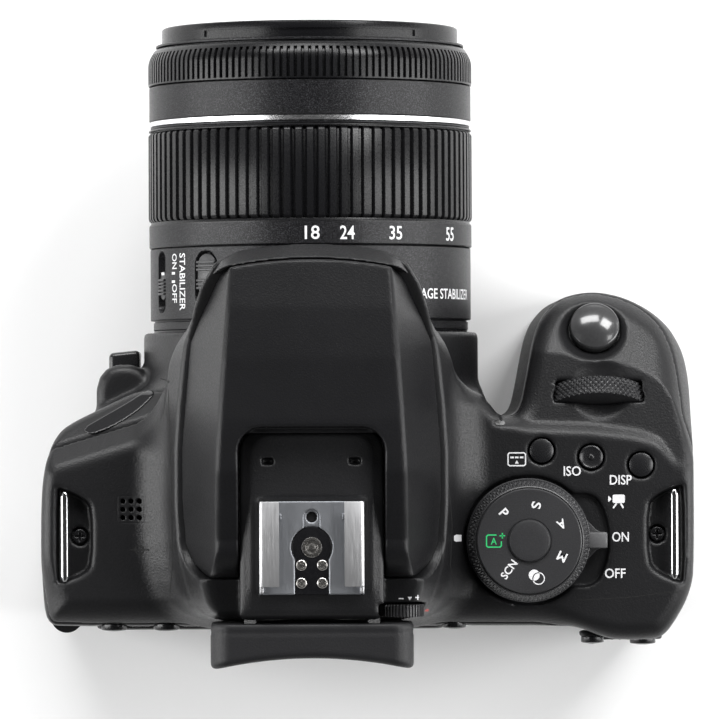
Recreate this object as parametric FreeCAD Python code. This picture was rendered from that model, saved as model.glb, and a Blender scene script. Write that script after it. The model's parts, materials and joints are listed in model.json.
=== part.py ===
"""Single-lens reflex camera with a zoom lens, as separate sub-parts, one STEP file each.

Frame, in millimetres: +Z up, the lens points along -Y, the hand grip is on the -X side.
The origin is the mouth of the tripod socket, on the flat base, under the optical axis.
"""
import FreeCAD
import Part
import math
import os

V = FreeCAD.Vector

# ---- driving dimensions -------------------------------------------------------------
WALL = 2.0                   # thickness of the moulded covers
GAP = 0.25                   # running clearance round buttons and slides
AXIS_Z = 41.5                # optical axis above the base
FLANGE_Y = -26.3             # lens mount flange
SENSOR_Y = FLANGE_Y + 44.0   # register distance of the mount
LEFT_X = 54.3                # side with the terminal covers
RIGHT_X = -76.7              # side with the grip
REAR_Y = 33.5
SHOULDER_Z = 74.0
TOP_SPLIT_Z = 70.0           # seam between the top cover and the covers below it
BASE_TOP_Z = 2.5
SIDE_SPLIT_Y = 13.8          # seam between the front and rear covers
HUMP_TOP_Z = 102.6
PLATEAU_Z = 97.2             # deck under the accessory shoe
MOUNT_R = 34.3               # moulded ring round the lens mount

GRIP_SLOPE = math.radians(22.0)   # the top of the grip falls towards the front
GRIP_SLOPE_Y = -8.0

LENS_R = 33.25
LENS_FRONT_Y = -88.3
ZOOM_TRAVEL = 12.0
SWITCH_ANGLES = {"af_mf_switch": 40.0, "stabilizer_switch": 67.0}

FLASH_PIVOT = (15.5, 90.0)   # Y and Z of the flash hinge
FLASH_END_R = 7.8
FLASH_SEAM_Z = 82.2
PLATEAU_HALF_X = 14.2
PLATEAU_FRONT_Y = -6.4
HUMP_REAR_Y = 31.6

MODE_DIAL_XY = (-43.3, 16.3)
MONITOR_PIVOT = (49.5, 31.6)  # X and Y of the monitor's swing hinge


# ---- small helpers ------------------------------------------------------------------
def box(x0, x1, y0, y1, z0, z1):
    return Part.makeBox(x1 - x0, y1 - y0, z1 - z0, V(x0, y0, z0))


def rod(x, y, z, r, length, axis=(0, 0, 1)):
    """A cylinder that starts at the point and runs along axis."""
    return Part.makeCylinder(r, length, V(x, y, z), V(*axis))


def tube(x, y, z, r_out, r_in, length, axis=(0, 0, 1)):
    return rod(x, y, z, r_out, length, axis).cut(rod(x, y, z, r_in, length, axis))


def lens_tube(r_out, r_in, y0, y1):
    """A ring round the optical axis from y0 to y1."""
    return tube(0, y0, AXIS_Z, r_out, r_in, y1 - y0, (0, 1, 0))


def lens_rod(r, y0, y1):
    return rod(0, y0, AXIS_Z, r, y1 - y0, (0, 1, 0))


def rounded_face(corners):
    """A flat face in the XY plane. Each corner is (x, y, fillet radius)."""
    n = len(corners)
    starts, ends, mids = [], [], []
    for i in range(n):
        x, y, r = corners[i]
        here = V(x, y, 0)
        before = V(corners[i - 1][0], corners[i - 1][1], 0) - here
        after = V(corners[(i + 1) % n][0], corners[(i + 1) % n][1], 0) - here
        before.normalize()
        after.normalize()
        half = before.getAngle(after) / 2
        reach = r / math.tan(half)
        bisector = before + after
        bisector.normalize()
        starts.append(here + before * reach)
        ends.append(here + after * reach)
        mids.append(here + bisector * (r / math.sin(half) - r))
    edges = []
    for i in range(n):
        if corners[i][2] > 0:
            edges.append(Part.Arc(starts[i], mids[i], ends[i]).toShape())
        nxt = starts[(i + 1) % n]
        if (nxt - ends[i]).Length > 1e-6:
            edges.append(Part.LineSegment(ends[i], nxt).toShape())
    return Part.Face(Part.Wire(edges))


def prism(corners, z0, z1):
    face = rounded_face(corners)
    face.translate(V(0, 0, z0))
    return face.extrude(V(0, 0, z1 - z0))


def side_profile(points, x0, x1):
    """A solid from (y, z) points, extruded along X."""
    wire = Part.makePolygon([V(x0, y, z) for y, z in points + points[:1]])
    return Part.Face(wire).extrude(V(x1 - x0, 0, 0))


def front_profile(points, y0, y1):
    """A solid from (x, z) points, extruded along Y."""
    wire = Part.makePolygon([V(x, y0, z) for x, z in points + points[:1]])
    return Part.Face(wire).extrude(V(0, y1 - y0, 0))


def edges_along(shape, axis):
    return [e for e in shape.Edges if abs(getattr(e.tangentAt(e.FirstParameter), axis)) > 0.9]


def fuse(*shapes):
    whole = shapes[0]
    for s in shapes[1:]:
        whole = whole.fuse(s)
    return whole.removeSplitter()


def about_lens(shape, degrees):
    """Turns a shape made at the top of the lens round the optical axis, towards +X."""
    turned = shape.copy()
    turned.rotate(V(0, 0, AXIS_Z), V(0, 1, 0), degrees)
    return turned


def tilt_with_grip(shape, y):
    """Tilts a shape made upright on the grip's flat top so that it stands square on the slope at y."""
    tilted = shape.copy()
    tilted.rotate(V(0, y, grip_z(y)), V(1, 0, 0), math.degrees(GRIP_SLOPE))
    return tilted


def grip_z(y):
    """Height of the sloping top of the grip at y."""
    return SHOULDER_Z + (y - GRIP_SLOPE_Y) * math.tan(GRIP_SLOPE)


# ---- the body's outer form ----------------------------------------------------------
def body_outline(inset=0.0):
    i = inset
    return [
        (LEFT_X - i, REAR_Y - i, 6.0 - i / 2),
        (-50.0, REAR_Y - i, 2.0),
        (-58.0, REAR_Y + 3.0 - i, 2.0),
        (-70.0, REAR_Y + 3.0 - i, 5.0),
        (RIGHT_X + i, REAR_Y - 5.5 - i, 6.0),
        (RIGHT_X + i, -20.5 + i, 7.0),
        (-67.0 + i * 0.6, -33.7 + i, 7.0),
        (-49.0 - i * 0.6, -33.7 + i, 6.0),
        (-44.6 - i, -22.0 + i, 4.0),
        (-41.7 - i, -8.4 + i, 3.0 + i),
        (-30.0, -8.4 + i, 2.0),
        (-30.0 + i, -14.0 + i, 2.0),
        (34.0 - i, -14.0 + i, 2.0),
        (50.5 - i, -7.4 + i, 4.0),
        (LEFT_X - i, 1.0 + i, 5.0),
    ]


def above_grip_slope(lift):
    """Everything above a plane parallel to the grip's sloping top, over the grip only."""
    y0, y1 = -45.0, GRIP_SLOPE_Y
    return side_profile([(y1, SHOULDER_Z + lift), (y0, grip_z(y0) + lift), (y0, 90.0), (y1, 90.0)],
                        RIGHT_X - 5, -42.0)


def body_block(inset, z0, z1):
    lift = -inset
    return prism(body_outline(inset), z0, z1).cut(above_grip_slope(lift))


def mount_block(inset):
    ring = lens_rod(MOUNT_R - inset, FLANGE_Y + 0.4 + inset, -8.0)
    foot = prism([(30.0 - inset, -8.0, 0), (30.0 - inset, -22.0 + inset, 5.0),
                  (-30.0 + inset, -22.0 + inset, 5.0), (-30.0 + inset, -8.0, 0)],
                 BASE_TOP_Z, AXIS_Z)
    return fuse(ring, foot)


def hump_form():
    """The raised housing of the viewfinder and flash, from the shoulder up."""
    section = [(-30.0, TOP_SPLIT_Z), (-26.7, 83.0), (-17.8, HUMP_TOP_Z),
               (17.8, HUMP_TOP_Z), (26.7, 83.0), (30.0, TOP_SPLIT_Z)]
    bar = front_profile(section, -50.0, 40.0)
    plan = prism([(31.0, HUMP_REAR_Y, 3.0), (-31.0, HUMP_REAR_Y, 3.0), (-31.0, -12.0, 8.0),
                  (-24.0, -26.0, 8.0), (-18.0, -42.3, 6.0),
                  (18.0, -42.3, 6.0), (24.0, -26.0, 8.0), (31.0, -12.0, 8.0)],
                 TOP_SPLIT_Z, 110.0)
    slopes = side_profile([(40.0, TOP_SPLIT_Z), (40.0, 97.5), (FLASH_PIVOT[0], 97.8),
                           (-8.0, HUMP_TOP_Z), (-40.5, 93.6), (-42.5, 92.0),
                           (-37.0, 76.4), (-14.0, 76.4), (-14.0, TOP_SPLIT_Z)],
                          -40.0, 40.0)
    hump = bar.common(plan).common(slopes)
    hump = hump.cut(box(-PLATEAU_HALF_X, PLATEAU_HALF_X, PLATEAU_FRONT_Y, 40.0, PLATEAU_Z, 110.0))
    rear = side_profile([(FLASH_PIVOT[0], 90.3), (23.6, 90.3), (30.0, 88.6), (40.0, 84.0),
                         (40.0, 110.0), (FLASH_PIVOT[0], 110.0)], -40.0, 40.0)
    rear = rear.cut(rod(-40.0, FLASH_PIVOT[0], FLASH_PIVOT[1], FLASH_END_R, 80.0, (1, 0, 0)))
    return hump.cut(rear.cut(plateau(0.0, 110.0)))


def plateau(grow, z1):
    return box(-PLATEAU_HALF_X - grow, PLATEAU_HALF_X + grow, PLATEAU_FRONT_Y - grow, 40.0,
               75.0, z1)


def flash_zone(grow):
    """The part of the hump that lifts as the flash head."""
    y, z = FLASH_PIVOT
    low = FLASH_SEAM_Z - grow
    above = side_profile([(y, low), (-24.0, low), (-38.0, low + 8.8), (-50.0, low + 8.8),
                          (-50.0, 110.0), (y, 110.0)], -40.0, 40.0)
    end = rod(-40.0, y, z, FLASH_END_R + grow, 80.0, (1, 0, 0))
    return fuse(above, end).cut(plateau(GAP - grow, 110.0))


# ---- casing -------------------------------------------------------------------------
def base_cover():
    plate = prism(body_outline(), 0, BASE_TOP_Z)
    foot = prism([(30.0, -8.0, 0), (30.0, -22.0, 5.0), (-30.0, -22.0, 5.0), (-30.0, -8.0, 0)],
                 0, BASE_TOP_Z)
    plate = fuse(plate, foot)
    plate = plate.cut(battery_door_zone(GAP, -1.0)).cut(battery_door_pin(PIN_R + 0.06))
    plate = plate.cut(rod(0, 0, -1, 5.0, 8))
    for x, y in SCREW_XY:
        plate = plate.cut(rod(x, y, -1, 1.5, 2.2)).cut(rod(x, y, 0, 0.9, 6))
    return plate


SCREW_XY = [(48.0, 27.0), (48.0, 0.0), (20.0, -17.0), (-20.0, -17.0), (-40.0, 28.0), (10.0, 28.0)]


def case_screws():
    heads = [rod(x, y, 0.2, 1.45, 1.0).fuse(rod(x, y, 1.0, 0.9, 5.0)) for x, y in SCREW_XY]
    slots = [box(x - 1.0, x + 1.0, y - 0.2, y + 0.2, 0.0, 0.6)
             .fuse(box(x - 0.2, x + 0.2, y - 1.0, y + 1.0, 0.0, 0.6)) for x, y in SCREW_XY]
    return Part.makeCompound([h.removeSplitter().cut(s) for h, s in zip(heads, slots)])


def tripod_socket():
    """A flanged brass bush with the blind tripod screw hole."""
    bush = fuse(rod(0, 0, 0, 5.0, BASE_TOP_Z), rod(0, 0, BASE_TOP_Z, 8.0, 4.0))
    return bush.cut(rod(0, 0, 0, 3.175, 5.5))


def lower_shell():
    outer = fuse(body_block(0.0, BASE_TOP_Z, TOP_SPLIT_Z), mount_block(0.0))
    inner = fuse(body_block(WALL, BASE_TOP_Z - 1, TOP_SPLIT_Z + 1),
                 lens_rod(27.6, -40.0, 0.0),
                 box(-27.0, 27.0, -19.5, 0.0, BASE_TOP_Z - 1, AXIS_Z))
    shell = outer.cut(inner)
    shell = shell.cut(above_grip_slope(-4.0))
    return shell.cut(lens_rod(32.6, FLANGE_Y, FLANGE_Y + 2.0))


def rubber_zone(depth):
    """The textured skin that wraps the front of the grip."""
    skin = prism(body_outline(-0.01), 6.0, 57.0).cut(prism(body_outline(depth), 5.0, 58.0))
    keep = box(RIGHT_X - 1, -38.5, -40.0, 6.0, 5.0, 58.0)
    return skin.common(keep)


def grip_rubber():
    return rubber_zone(1.2).common(prism(body_outline(), 0.0, 60.0))


RELEASE = {"x0": 35.2, "x1": 41.4, "z0": 31.0, "z1": 45.0, "front": -22.4, "back": -13.0}


RELEASE_TRAVEL = 2.5


def release_zone(grow, y0, behind=0.0):
    r = RELEASE
    b = box(r["x0"] - grow, r["x1"] + grow, y0, r["back"] + behind, r["z0"] - grow,
            r["z1"] + grow)
    return b.makeFillet(2.6, edges_along(b, "y"))


def front_cover():
    shell = lower_shell()
    cover = shell.common(box(-90, 60, -60, SIDE_SPLIT_Y, BASE_TOP_Z, 90))
    housing = box(32.5, 43.8, -19.4, -9.0, 25.0, 52.0)
    outer_edges = [e for e in edges_along(housing, "y") if e.CenterOfMass.x > 40]
    housing = housing.makeFillet(4.0, outer_edges)
    inner_front = prism(body_outline(WALL), BASE_TOP_Z, TOP_SPLIT_Z)
    cover = cover.fuse(housing.cut(inner_front).cut(lens_rod(30.0, -40, 0)))
    cover = cover.removeSplitter()
    cover = cover.cut(release_zone(GAP, -30.0, RELEASE_TRAVEL + GAP))
    cover = cover.cut(rubber_zone(1.2))
    for zone in terminal_zones(GAP):
        cover = cover.cut(zone)
    return cover


MONITOR = {"x0": -27.0, "x1": 43.6, "z0": 9.5, "z1": 62.5, "y0": 26.6, "y1": 34.3}


def monitor_bay():
    m = MONITOR
    x, y = MONITOR_PIVOT
    z0, z1 = m["z0"] - 0.5, m["z1"] + 0.5
    bay = box(m["x0"] - 0.5, x, m["y0"] - 0.4, 45.0, z0, z1)
    corner = box(x, LEFT_X + 1.0, y - 3.6, 45.0, z0, z1)
    pin_holes = rod(x, y, z0 - 1.2, 1.1, z1 - z0 + 2.4)
    return fuse(bay, corner, rod(x, y, z0, 3.6, z1 - z0), pin_holes)


def rear_cover():
    cover = lower_shell().common(box(-90, 60, SIDE_SPLIT_Y, 60, BASE_TOP_Z, 90))
    m = MONITOR
    tray = box(m["x0"] - 2.5, 52.6, m["y0"] - 1.9, REAR_Y - 0.5, m["z0"] - 2.5, m["z1"] + 2.5)
    tray = tray.common(body_block(0.0, BASE_TOP_Z, TOP_SPLIT_Z))
    dx, dz = REAR_DIAL_XZ
    cup = rod(dx, 28.0, dz, REAR_DIAL_R + 1.8, REAR_Y - 28.5, (0, 1, 0))
    cover = fuse(cover, tray, cup).cut(monitor_bay())
    for name, (x, z, r, y_face) in REAR_BUTTONS.items():
        if z < TOP_SPLIT_Z:
            cover = cover.cut(rod(x, 20.0, z, r + GAP, 30.0, (0, 1, 0)))
    cover = cover.cut(rod(dx, 29.0, dz, REAR_DIAL_R + GAP, 30.0, (0, 1, 0)))
    for zone in terminal_zones(GAP):
        cover = cover.cut(zone)
    return cover.cut(thumb_zone(1.0))


def thumb_zone(depth):
    """The rubber pad for the thumb, on the rear bump."""
    return box(-71.0, -55.0, REAR_Y + 3.0 - depth, REAR_Y + 4.0, 36.0, 60.0)


def thumb_rubber():
    pad = box(-70.95, -55.05, REAR_Y + 2.05, REAR_Y + 3.4, 36.05, 59.95)
    return pad.makeFillet(0.8, edges_along(pad, "y"))


def top_cover():
    deck = body_block(0.0, TOP_SPLIT_Z, SHOULDER_Z)
    grip_lip = body_block(0.0, 50.0, TOP_SPLIT_Z).common(above_grip_slope(-4.0))
    cover = fuse(deck, grip_lip, hump_form())
    cover = cover.cut(body_block(WALL, 49.0, SHOULDER_Z - WALL))
    cover = cover.cut(front_profile([(-24.0, 60.0), (-22.0, 80.8), (22.0, 80.8), (24.0, 60.0)],
                                    -11.0, 29.0))
    cover = cover.cut(box(-12.0, 12.0, -4.0, 28.5, 80.0, 94.5))
    cover = cover.cut(flash_zone(GAP)).cut(flash_swing())
    cover = cover.cut(lens_rod(MOUNT_R + 0.05, -60.0, -7.9))
    cover = cover.fuse(Part.makeCompound([lug_bucket(side) for side in (1, -1)]))
    cover = cover.fuse(main_dial_bracket())
    cutters = [
        tilt_with_grip(rod(SHUTTER_XY[0], SHUTTER_XY[1], grip_z(SHUTTER_XY[1]) - 9,
                           SHUTTER_R + 0.35, 14), SHUTTER_XY[1]),
        tilt_with_grip(main_dial_slot(), MAIN_DIAL_Y),
        rod(MODE_DIAL_XY[0], MODE_DIAL_XY[1], 60.0, 5.0, 30.0),
        rod(MODE_DIAL_XY[0], MODE_DIAL_XY[1], SHOULDER_Z - 1.2, 13.0, 5.0),
        lever_pocket(),
        diopter_zone(GAP),
        rod(0, 20.0, EYE_Z, 7.6, 20.0, (0, 1, 0)),
    ]
    cutters += [rod(x, y, 60.0, r + GAP, 20.0) for x, y, r in TOP_BUTTONS.values()]
    cutters += [rod(36.1 + dx, 9.8 + dy, 60.0, 0.52, 20.0)
                for dx in (-1.65, 0.0, 1.65) for dy in (-1.65, 0.0, 1.65)]
    cutters += [lug_pocket(side) for side in (1, -1)]
    for c in cutters:
        cover = cover.cut(c)
    y, z = FLASH_PIVOT
    rails = [box(x - 0.9, x + 0.9, HUMP_REAR_Y - 0.4, 33.4, 76.0, 92.0)
             for x in (-EYECUP_RAIL_X, EYECUP_RAIL_X)]
    pins = [rod(s * 12.5, y, z, 1.2, 7.0, (s, 0, 0)) for s in (1, -1)]
    return fuse(cover, *rails, *pins, shoe_insulator())


# ---- strap lugs ---------------------------------------------------------------------
LUG_X = {1: (48.6, 50.2), -1: (-71.8, -73.4)}
LUG_Y = (6.0, 24.4)


def lug_pocket(side, grow=0.0, floor=SHOULDER_Z - 3.1):
    """The recess that the strap is threaded through. side is 1 on the +X shoulder."""
    x0, x1 = LUG_X[side]
    inner = x0 - side * (4.6 + grow)
    outer = x1 + side * (1.0 + grow)
    return box(min(inner, outer), max(inner, outer), LUG_Y[0] - grow, LUG_Y[1] + grow,
               floor, SHOULDER_Z + 5)


def lug_bucket(side):
    below = lug_pocket(side, 1.0, TOP_SPLIT_Z)
    return below.common(box(-90, 90, -60, 60, TOP_SPLIT_Z, SHOULDER_Z - 1.0))


def strap_lugs():
    lugs = []
    for x0, x1 in LUG_X.values():
        bar = box(min(x0, x1), max(x0, x1), LUG_Y[0], LUG_Y[1],
                  SHOULDER_Z - 1.4, SHOULDER_Z + 0.4)
        lugs.append(bar.makeFillet(0.5, edges_along(bar, "y")))
    return Part.makeCompound(lugs)


# ---- viewfinder, shoe and flash -----------------------------------------------------
EYE_Z = 85.0
EYECUP_RAIL_X = 12.4


def eyecup():
    y0, y1 = 32.1, 41.3
    body = box(-20.0, 20.0, y0, y1, 74.8, 96.4)
    body = body.makeFillet(4.0, edges_along(body, "y"))
    window = box(-10.5, 10.5, 30.0, 50.0, EYE_Z - 6.2, EYE_Z + 6.2)
    window = window.makeFillet(2.5, edges_along(window, "y"))
    rim = rod(0, y1 + 98.8, 70.0, 100.0, 40.0)
    body = body.cut(window).cut(rim)
    for x in (-EYECUP_RAIL_X, EYECUP_RAIL_X):
        body = body.cut(box(x - 1.1, x + 1.1, 31.0, 33.7, 70.0, 92.3))
    return body


def eyepiece_lens():
    return rod(0, 28.5, EYE_Z, 7.6, 2.6, (0, 1, 0))


def pentamirror():
    """The roof mirror block that turns the image the right way round, on its screen frame."""
    frame = box(-19.0, 19.0, -10.0, 12.0, MIRROR_BOX_TOP, 65.0)
    roof = side_profile([(-3.4, 65.0), (12.0, 65.0), (22.0, 79.0), (22.0, 91.0), (8.0, 93.5),
                         (-3.4, 84.0)], -11.0, 11.0)
    return fuse(frame, roof)


def diopter_zone(grow):
    return rod(DIOPTER_XZ[0], 28.6 - grow, DIOPTER_XZ[1], DIOPTER_R + grow, 2.5 + 2 * grow,
               (0, 1, 0))


DIOPTER_XZ = (-17.8, 85.6)
DIOPTER_R = 4.4


def diopter_knob():
    return diopter_zone(0.0)


SHOE_Y = (8.0, 26.3)
SHOE_RAIL_Y1 = 24.7
SHOE_HALF_X = 10.3


def hot_shoe():
    """Pressed steel accessory shoe: floor, two side walls and two lips."""
    z = PLATEAU_Z
    floor = box(-SHOE_HALF_X, SHOE_HALF_X, SHOE_Y[0], SHOE_Y[1], z, z + 0.8)
    key = fuse(rod(0, 17.0, z - 1, 4.0, 3), box(-3.3, 3.3, 17.0, 30.0, z - 1, z + 2),
               box(-1.4, 1.4, 10.7, 17.0, z - 1, z + 2), rod(0, 10.7, z - 1, 1.4, 3))
    walls = [floor.cut(key)]
    for s in (-1, 1):
        outer, wall, lip = s * SHOE_HALF_X, s * (SHOE_HALF_X - 0.9), s * 6.4
        walls.append(box(min(outer, wall), max(outer, wall), SHOE_Y[0], SHOE_RAIL_Y1,
                         z + 0.8, z + 4.0))
        walls.append(box(min(outer, lip), max(outer, lip), SHOE_Y[0], SHOE_RAIL_Y1,
                         z + 3.1, z + 4.0))
    return fuse(*walls)


def shoe_insulator():
    z = PLATEAU_Z
    block = fuse(rod(0, 17.0, z, 3.9, 0.9), box(-3.2, 3.2, 17.0, SHOE_Y[1], z, z + 0.9),
                 box(-1.3, 1.3, 10.7, 17.0, z, z + 0.7), rod(0, 10.7, z, 1.3, 0.7))
    for x, y, r in SHOE_CONTACTS:
        block = block.cut(rod(x, y, z - 1, r + 0.03, 4))
    return block


SHOE_CONTACTS = [(0.0, 17.0, 2.0), (-2.05, 20.5, 1.05), (2.05, 20.5, 1.05),
                 (-2.05, 24.0, 1.05), (2.05, 24.0, 1.05)]


def shoe_contacts():
    return Part.makeCompound([rod(x, y, PLATEAU_Z, r, 1.1) for x, y, r in SHOE_CONTACTS])


def flash_swing():
    """Room for the back wall of the flash head to swing past the front of the plateau."""
    y, z = FLASH_PIVOT
    reach = y - PLATEAU_FRONT_Y
    front = box(-PLATEAU_HALF_X - 1, PLATEAU_HALF_X + 1, PLATEAU_FRONT_Y - 1, y, z, 110.0)
    return front.cut(rod(-40.0, y, z, reach, 80.0, (1, 0, 0)))


def flash_window_zone(grow):
    """A flat box let into the sloping underside of the flash head."""
    y0, z0, y1, z1 = -25.4, FLASH_SEAM_Z + 0.9, -36.4, FLASH_SEAM_Z + 7.8
    run = math.hypot(y1 - y0, z1 - z0)
    ny, nz = (z1 - z0) / run, (y0 - y1) / run
    near, far = 0.1 - 2 * grow, 1.6 + grow
    corners = [(y0 + ny * near, z0 + nz * near), (y1 + ny * near, z1 + nz * near),
               (y1 + ny * far, z1 + nz * far), (y0 + ny * far, z0 + nz * far)]
    return side_profile(corners, -13.0 - grow, 13.0 + grow)


def flash_head():
    y, z = FLASH_PIVOT
    head = hump_form().common(flash_zone(0.0))
    head = head.cut(rod(-40.0, y, z, 1.3, 80.0, (1, 0, 0)))
    return head.cut(flash_window_zone(0.0)).cut(flash_window_zone(0.0).translated(V(0, -0.5, -0.9)))


def flash_window():
    """The clear cover of the lamp, on the face that looks forward when the head is up."""
    return flash_window_zone(0.0)


# ---- controls on top ----------------------------------------------------------------
SHUTTER_XY = (-57.2, -26.6)
SHUTTER_R = 4.95
MAIN_DIAL_X = -57.7
MAIN_DIAL_Y = -13.8
MAIN_DIAL_R = 10.5
MAIN_DIAL_SINK = 7.3          # depth of the dial's axle under the surface
TOP_BUTTONS = {"af_area_button": (-46.1, -1.6, 2.4), "iso_button": (-56.0, -0.3, 2.4),
               "disp_button": (-66.0, 1.3, 2.4)}


def shutter_button():
    x, y = SHUTTER_XY
    z = grip_z(y)
    dome = Part.makeSphere(11.0, V(x, y, z + 1.9 - 11.0))
    cap = rod(x, y, z - 2.2, SHUTTER_R, 6.0).common(dome)
    return tilt_with_grip(fuse(cap, rod(x, y, z - 5.0, 1.6, 3.2)), y)


def main_dial_slot():
    z = grip_z(MAIN_DIAL_Y)
    return fuse(box(MAIN_DIAL_X - 8.5, MAIN_DIAL_X + 8.5, MAIN_DIAL_Y - 2.2, MAIN_DIAL_Y + 2.2,
                    z - 6.0, z + 6.0),
                rod(MAIN_DIAL_X, MAIN_DIAL_Y - 2.2, z - MAIN_DIAL_SINK, MAIN_DIAL_R + 0.4, 4.4,
                    (0, 1, 0)))


def main_dial():
    """The wheel under the forefinger, with its stub axles."""
    z = grip_z(MAIN_DIAL_Y) - MAIN_DIAL_SINK
    wheel = rod(MAIN_DIAL_X, MAIN_DIAL_Y - 1.9, z, MAIN_DIAL_R, 3.8, (0, 1, 0))
    axle = rod(MAIN_DIAL_X, MAIN_DIAL_Y - 4.0, z, 1.5, 8.0, (0, 1, 0))
    return tilt_with_grip(fuse(wheel, axle), MAIN_DIAL_Y)


def main_dial_bracket():
    """Two ears under the deck that carry the dial's axle."""
    z = grip_z(MAIN_DIAL_Y)
    y = MAIN_DIAL_Y
    ears = [box(MAIN_DIAL_X - 3.0, MAIN_DIAL_X + 3.0, y + y0, y + y1, z - MAIN_DIAL_SINK - 3.0,
                z - 1.0) for y0, y1 in ((-3.8, -2.4), (2.4, 3.8))]
    bracket = Part.makeCompound(ears)
    bracket = bracket.cut(rod(MAIN_DIAL_X, y - 6.0, z - MAIN_DIAL_SINK, 1.6, 12.0, (0, 1, 0)))
    return tilt_with_grip(bracket, y)


def mode_dial():
    x, y = MODE_DIAL_XY
    z = SHOULDER_Z
    skirt = rod(x, y, z + 1.6, 12.2, 4.4)
    face = rod(x, y, z + 6.0, 10.4, 1.1)
    boss = rod(x, y, z + 7.1, 4.1, 0.7)
    stem = rod(x, y, z - 5.0, 2.9, 6.6)
    return fuse(skirt, face, boss, stem)


def power_lever():
    """A ring under the mode dial with a finger tab that points to the side."""
    x, y = MODE_DIAL_XY
    z = SHOULDER_Z
    ring = tube(x, y, z - 0.9, 12.4, 3.1, 2.2)
    tab = box(x - 15.6, x - 11.0, y - 1.3, y + 1.3, z - 0.9, z + 1.3)
    knob = box(x - 15.6, x - 12.9, y - 1.3, y + 1.3, z + 1.3, z + 2.9)
    return fuse(ring, tab, knob)


def lever_pocket():
    """The sunken fan that the power lever's tab swings in."""
    x, y = MODE_DIAL_XY
    fan = rod(x, y, SHOULDER_Z - 1.2, 16.2, 6.0)
    return fan.common(box(x - 20, x - 8, y - 9.3, y + 9.3, 60, 90))


def top_button(name):
    x, y, r = TOP_BUTTONS[name]
    z = SHOULDER_Z if name != "iso_button" else SHOULDER_Z - 0.2
    return fuse(rod(x, y, z - 2.0, r, 2.5), rod(x, y, z - 4.0, 1.2, 2.0))


# ---- controls on the back -----------------------------------------------------------
# x, z, radius and the Y of the cap's outer face
REAR_BUTTONS = {
    "menu_button": (39.8, 67.0, 2.6, 34.4),
    "info_button": (29.3, 67.0, 2.6, 34.4),
    "live_view_button": (-28.6, 67.0, 2.4, 34.2),
    "af_on_button": (-56.5, 64.8, 2.3, 37.4),
    "magnify_button": (-66.6, 65.4, 2.6, 37.6),
    "playback_button": (-36.5, 13.5, 2.4, 34.3),
    "erase_button": (-51.5, 13.5, 2.4, 34.3),
}
REAR_DIAL_XZ = (-44.0, 34.0)
REAR_DIAL_R = 11.2


def rear_button(name):
    x, z, r, y_face = REAR_BUTTONS[name]
    return fuse(rod(x, y_face - 3.2, z, r, 3.2, (0, 1, 0)),
                rod(x, y_face - 5.0, z, r - 1.0, 1.8, (0, 1, 0)))


def rear_dial():
    x, z = REAR_DIAL_XZ
    return tube(x, 29.4, z, REAR_DIAL_R, 5.6, 4.8, (0, 1, 0))


def set_button():
    x, z = REAR_DIAL_XZ
    return rod(x, 30.0, z, 5.3, 3.9, (0, 1, 0))


# ---- monitor ------------------------------------------------------------------------
def monitor_housing():
    m = MONITOR
    b = box(m["x0"], m["x1"], m["y0"], m["y1"], m["z0"], m["z1"])
    b = b.makeFillet(3.0, edges_along(b, "y"))
    pane = box(m["x0"] + 3.0, m["x1"] - 3.0, m["y1"] - 1.2, m["y1"] + 1,
               m["z0"] + 4.0, m["z1"] - 4.0)
    hub = rod(m["x1"] - 4.8, MONITOR_PIVOT[1] - 0.8, 36.0, 2.05, 6.0, (1, 0, 0))
    return b.cut(pane).cut(hub)


def monitor_glass():
    m = MONITOR
    return box(m["x0"] + 3.0, m["x1"] - 3.0, m["y1"] - 1.2, m["y1"] - 0.05,
               m["z0"] + 4.0, m["z1"] - 4.0)


def monitor_hinge():
    """The knuckle that swings on the body, with the stub that carries the monitor."""
    m = MONITOR
    x, y = MONITOR_PIVOT
    barrel = rod(x, y, m["z0"] - 0.2, 3.2, m["z1"] - m["z0"] + 0.4)
    web = box(x - 5.6, x, y - 3.0, y + 2.2, 26.0, 46.0)
    stub = rod(m["x1"] - 4.8, y - 0.8, 36.0, 2.05, 6.0, (1, 0, 0))
    pin = rod(x, y, m["z0"] - 1.5, 1.0, m["z1"] - m["z0"] + 3.0)
    return fuse(barrel, web, stub, pin)


# ---- side and bottom doors ----------------------------------------------------------
TERMINAL_Y = {"terminal_cover_front": (4.8, 13.2), "terminal_cover_rear": (14.4, 23.0)}
TERMINAL_Z = (14.0, 60.0)
HINGE_R = 0.85                # rounded edge of a flap, about its hinge pin
PIN_R = 0.5


def terminal_hinge(name):
    """X and Y of a side cover's hinge pin, near its front edge."""
    return LEFT_X - 0.05 - HINGE_R, TERMINAL_Y[name][0] + HINGE_R


def terminal_pin(name, r):
    x, y = terminal_hinge(name)
    return rod(x, y, TERMINAL_Z[0] - 1.2, r, TERMINAL_Z[1] - TERMINAL_Z[0] + 2.4)


def terminal_zone(name, grow):
    y0, y1 = TERMINAL_Y[name]
    return box(LEFT_X - 1.8 - grow, LEFT_X + 1.0, y0 - grow, y1 + grow,
               TERMINAL_Z[0] - grow, TERMINAL_Z[1] + grow)


def terminal_zones(grow):
    return [terminal_zone(n, grow).fuse(terminal_pin(n, PIN_R + 0.06)) for n in TERMINAL_Y]


def terminal_cover(name):
    y1 = TERMINAL_Y[name][1]
    x, y = terminal_hinge(name)
    flap = box(LEFT_X - 1.8, LEFT_X - 0.05, y, y1, *TERMINAL_Z)
    edge = rod(x, y, TERMINAL_Z[0], HINGE_R, TERMINAL_Z[1] - TERMINAL_Z[0])
    return fuse(flap, edge, terminal_pin(name, PIN_R))


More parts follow.
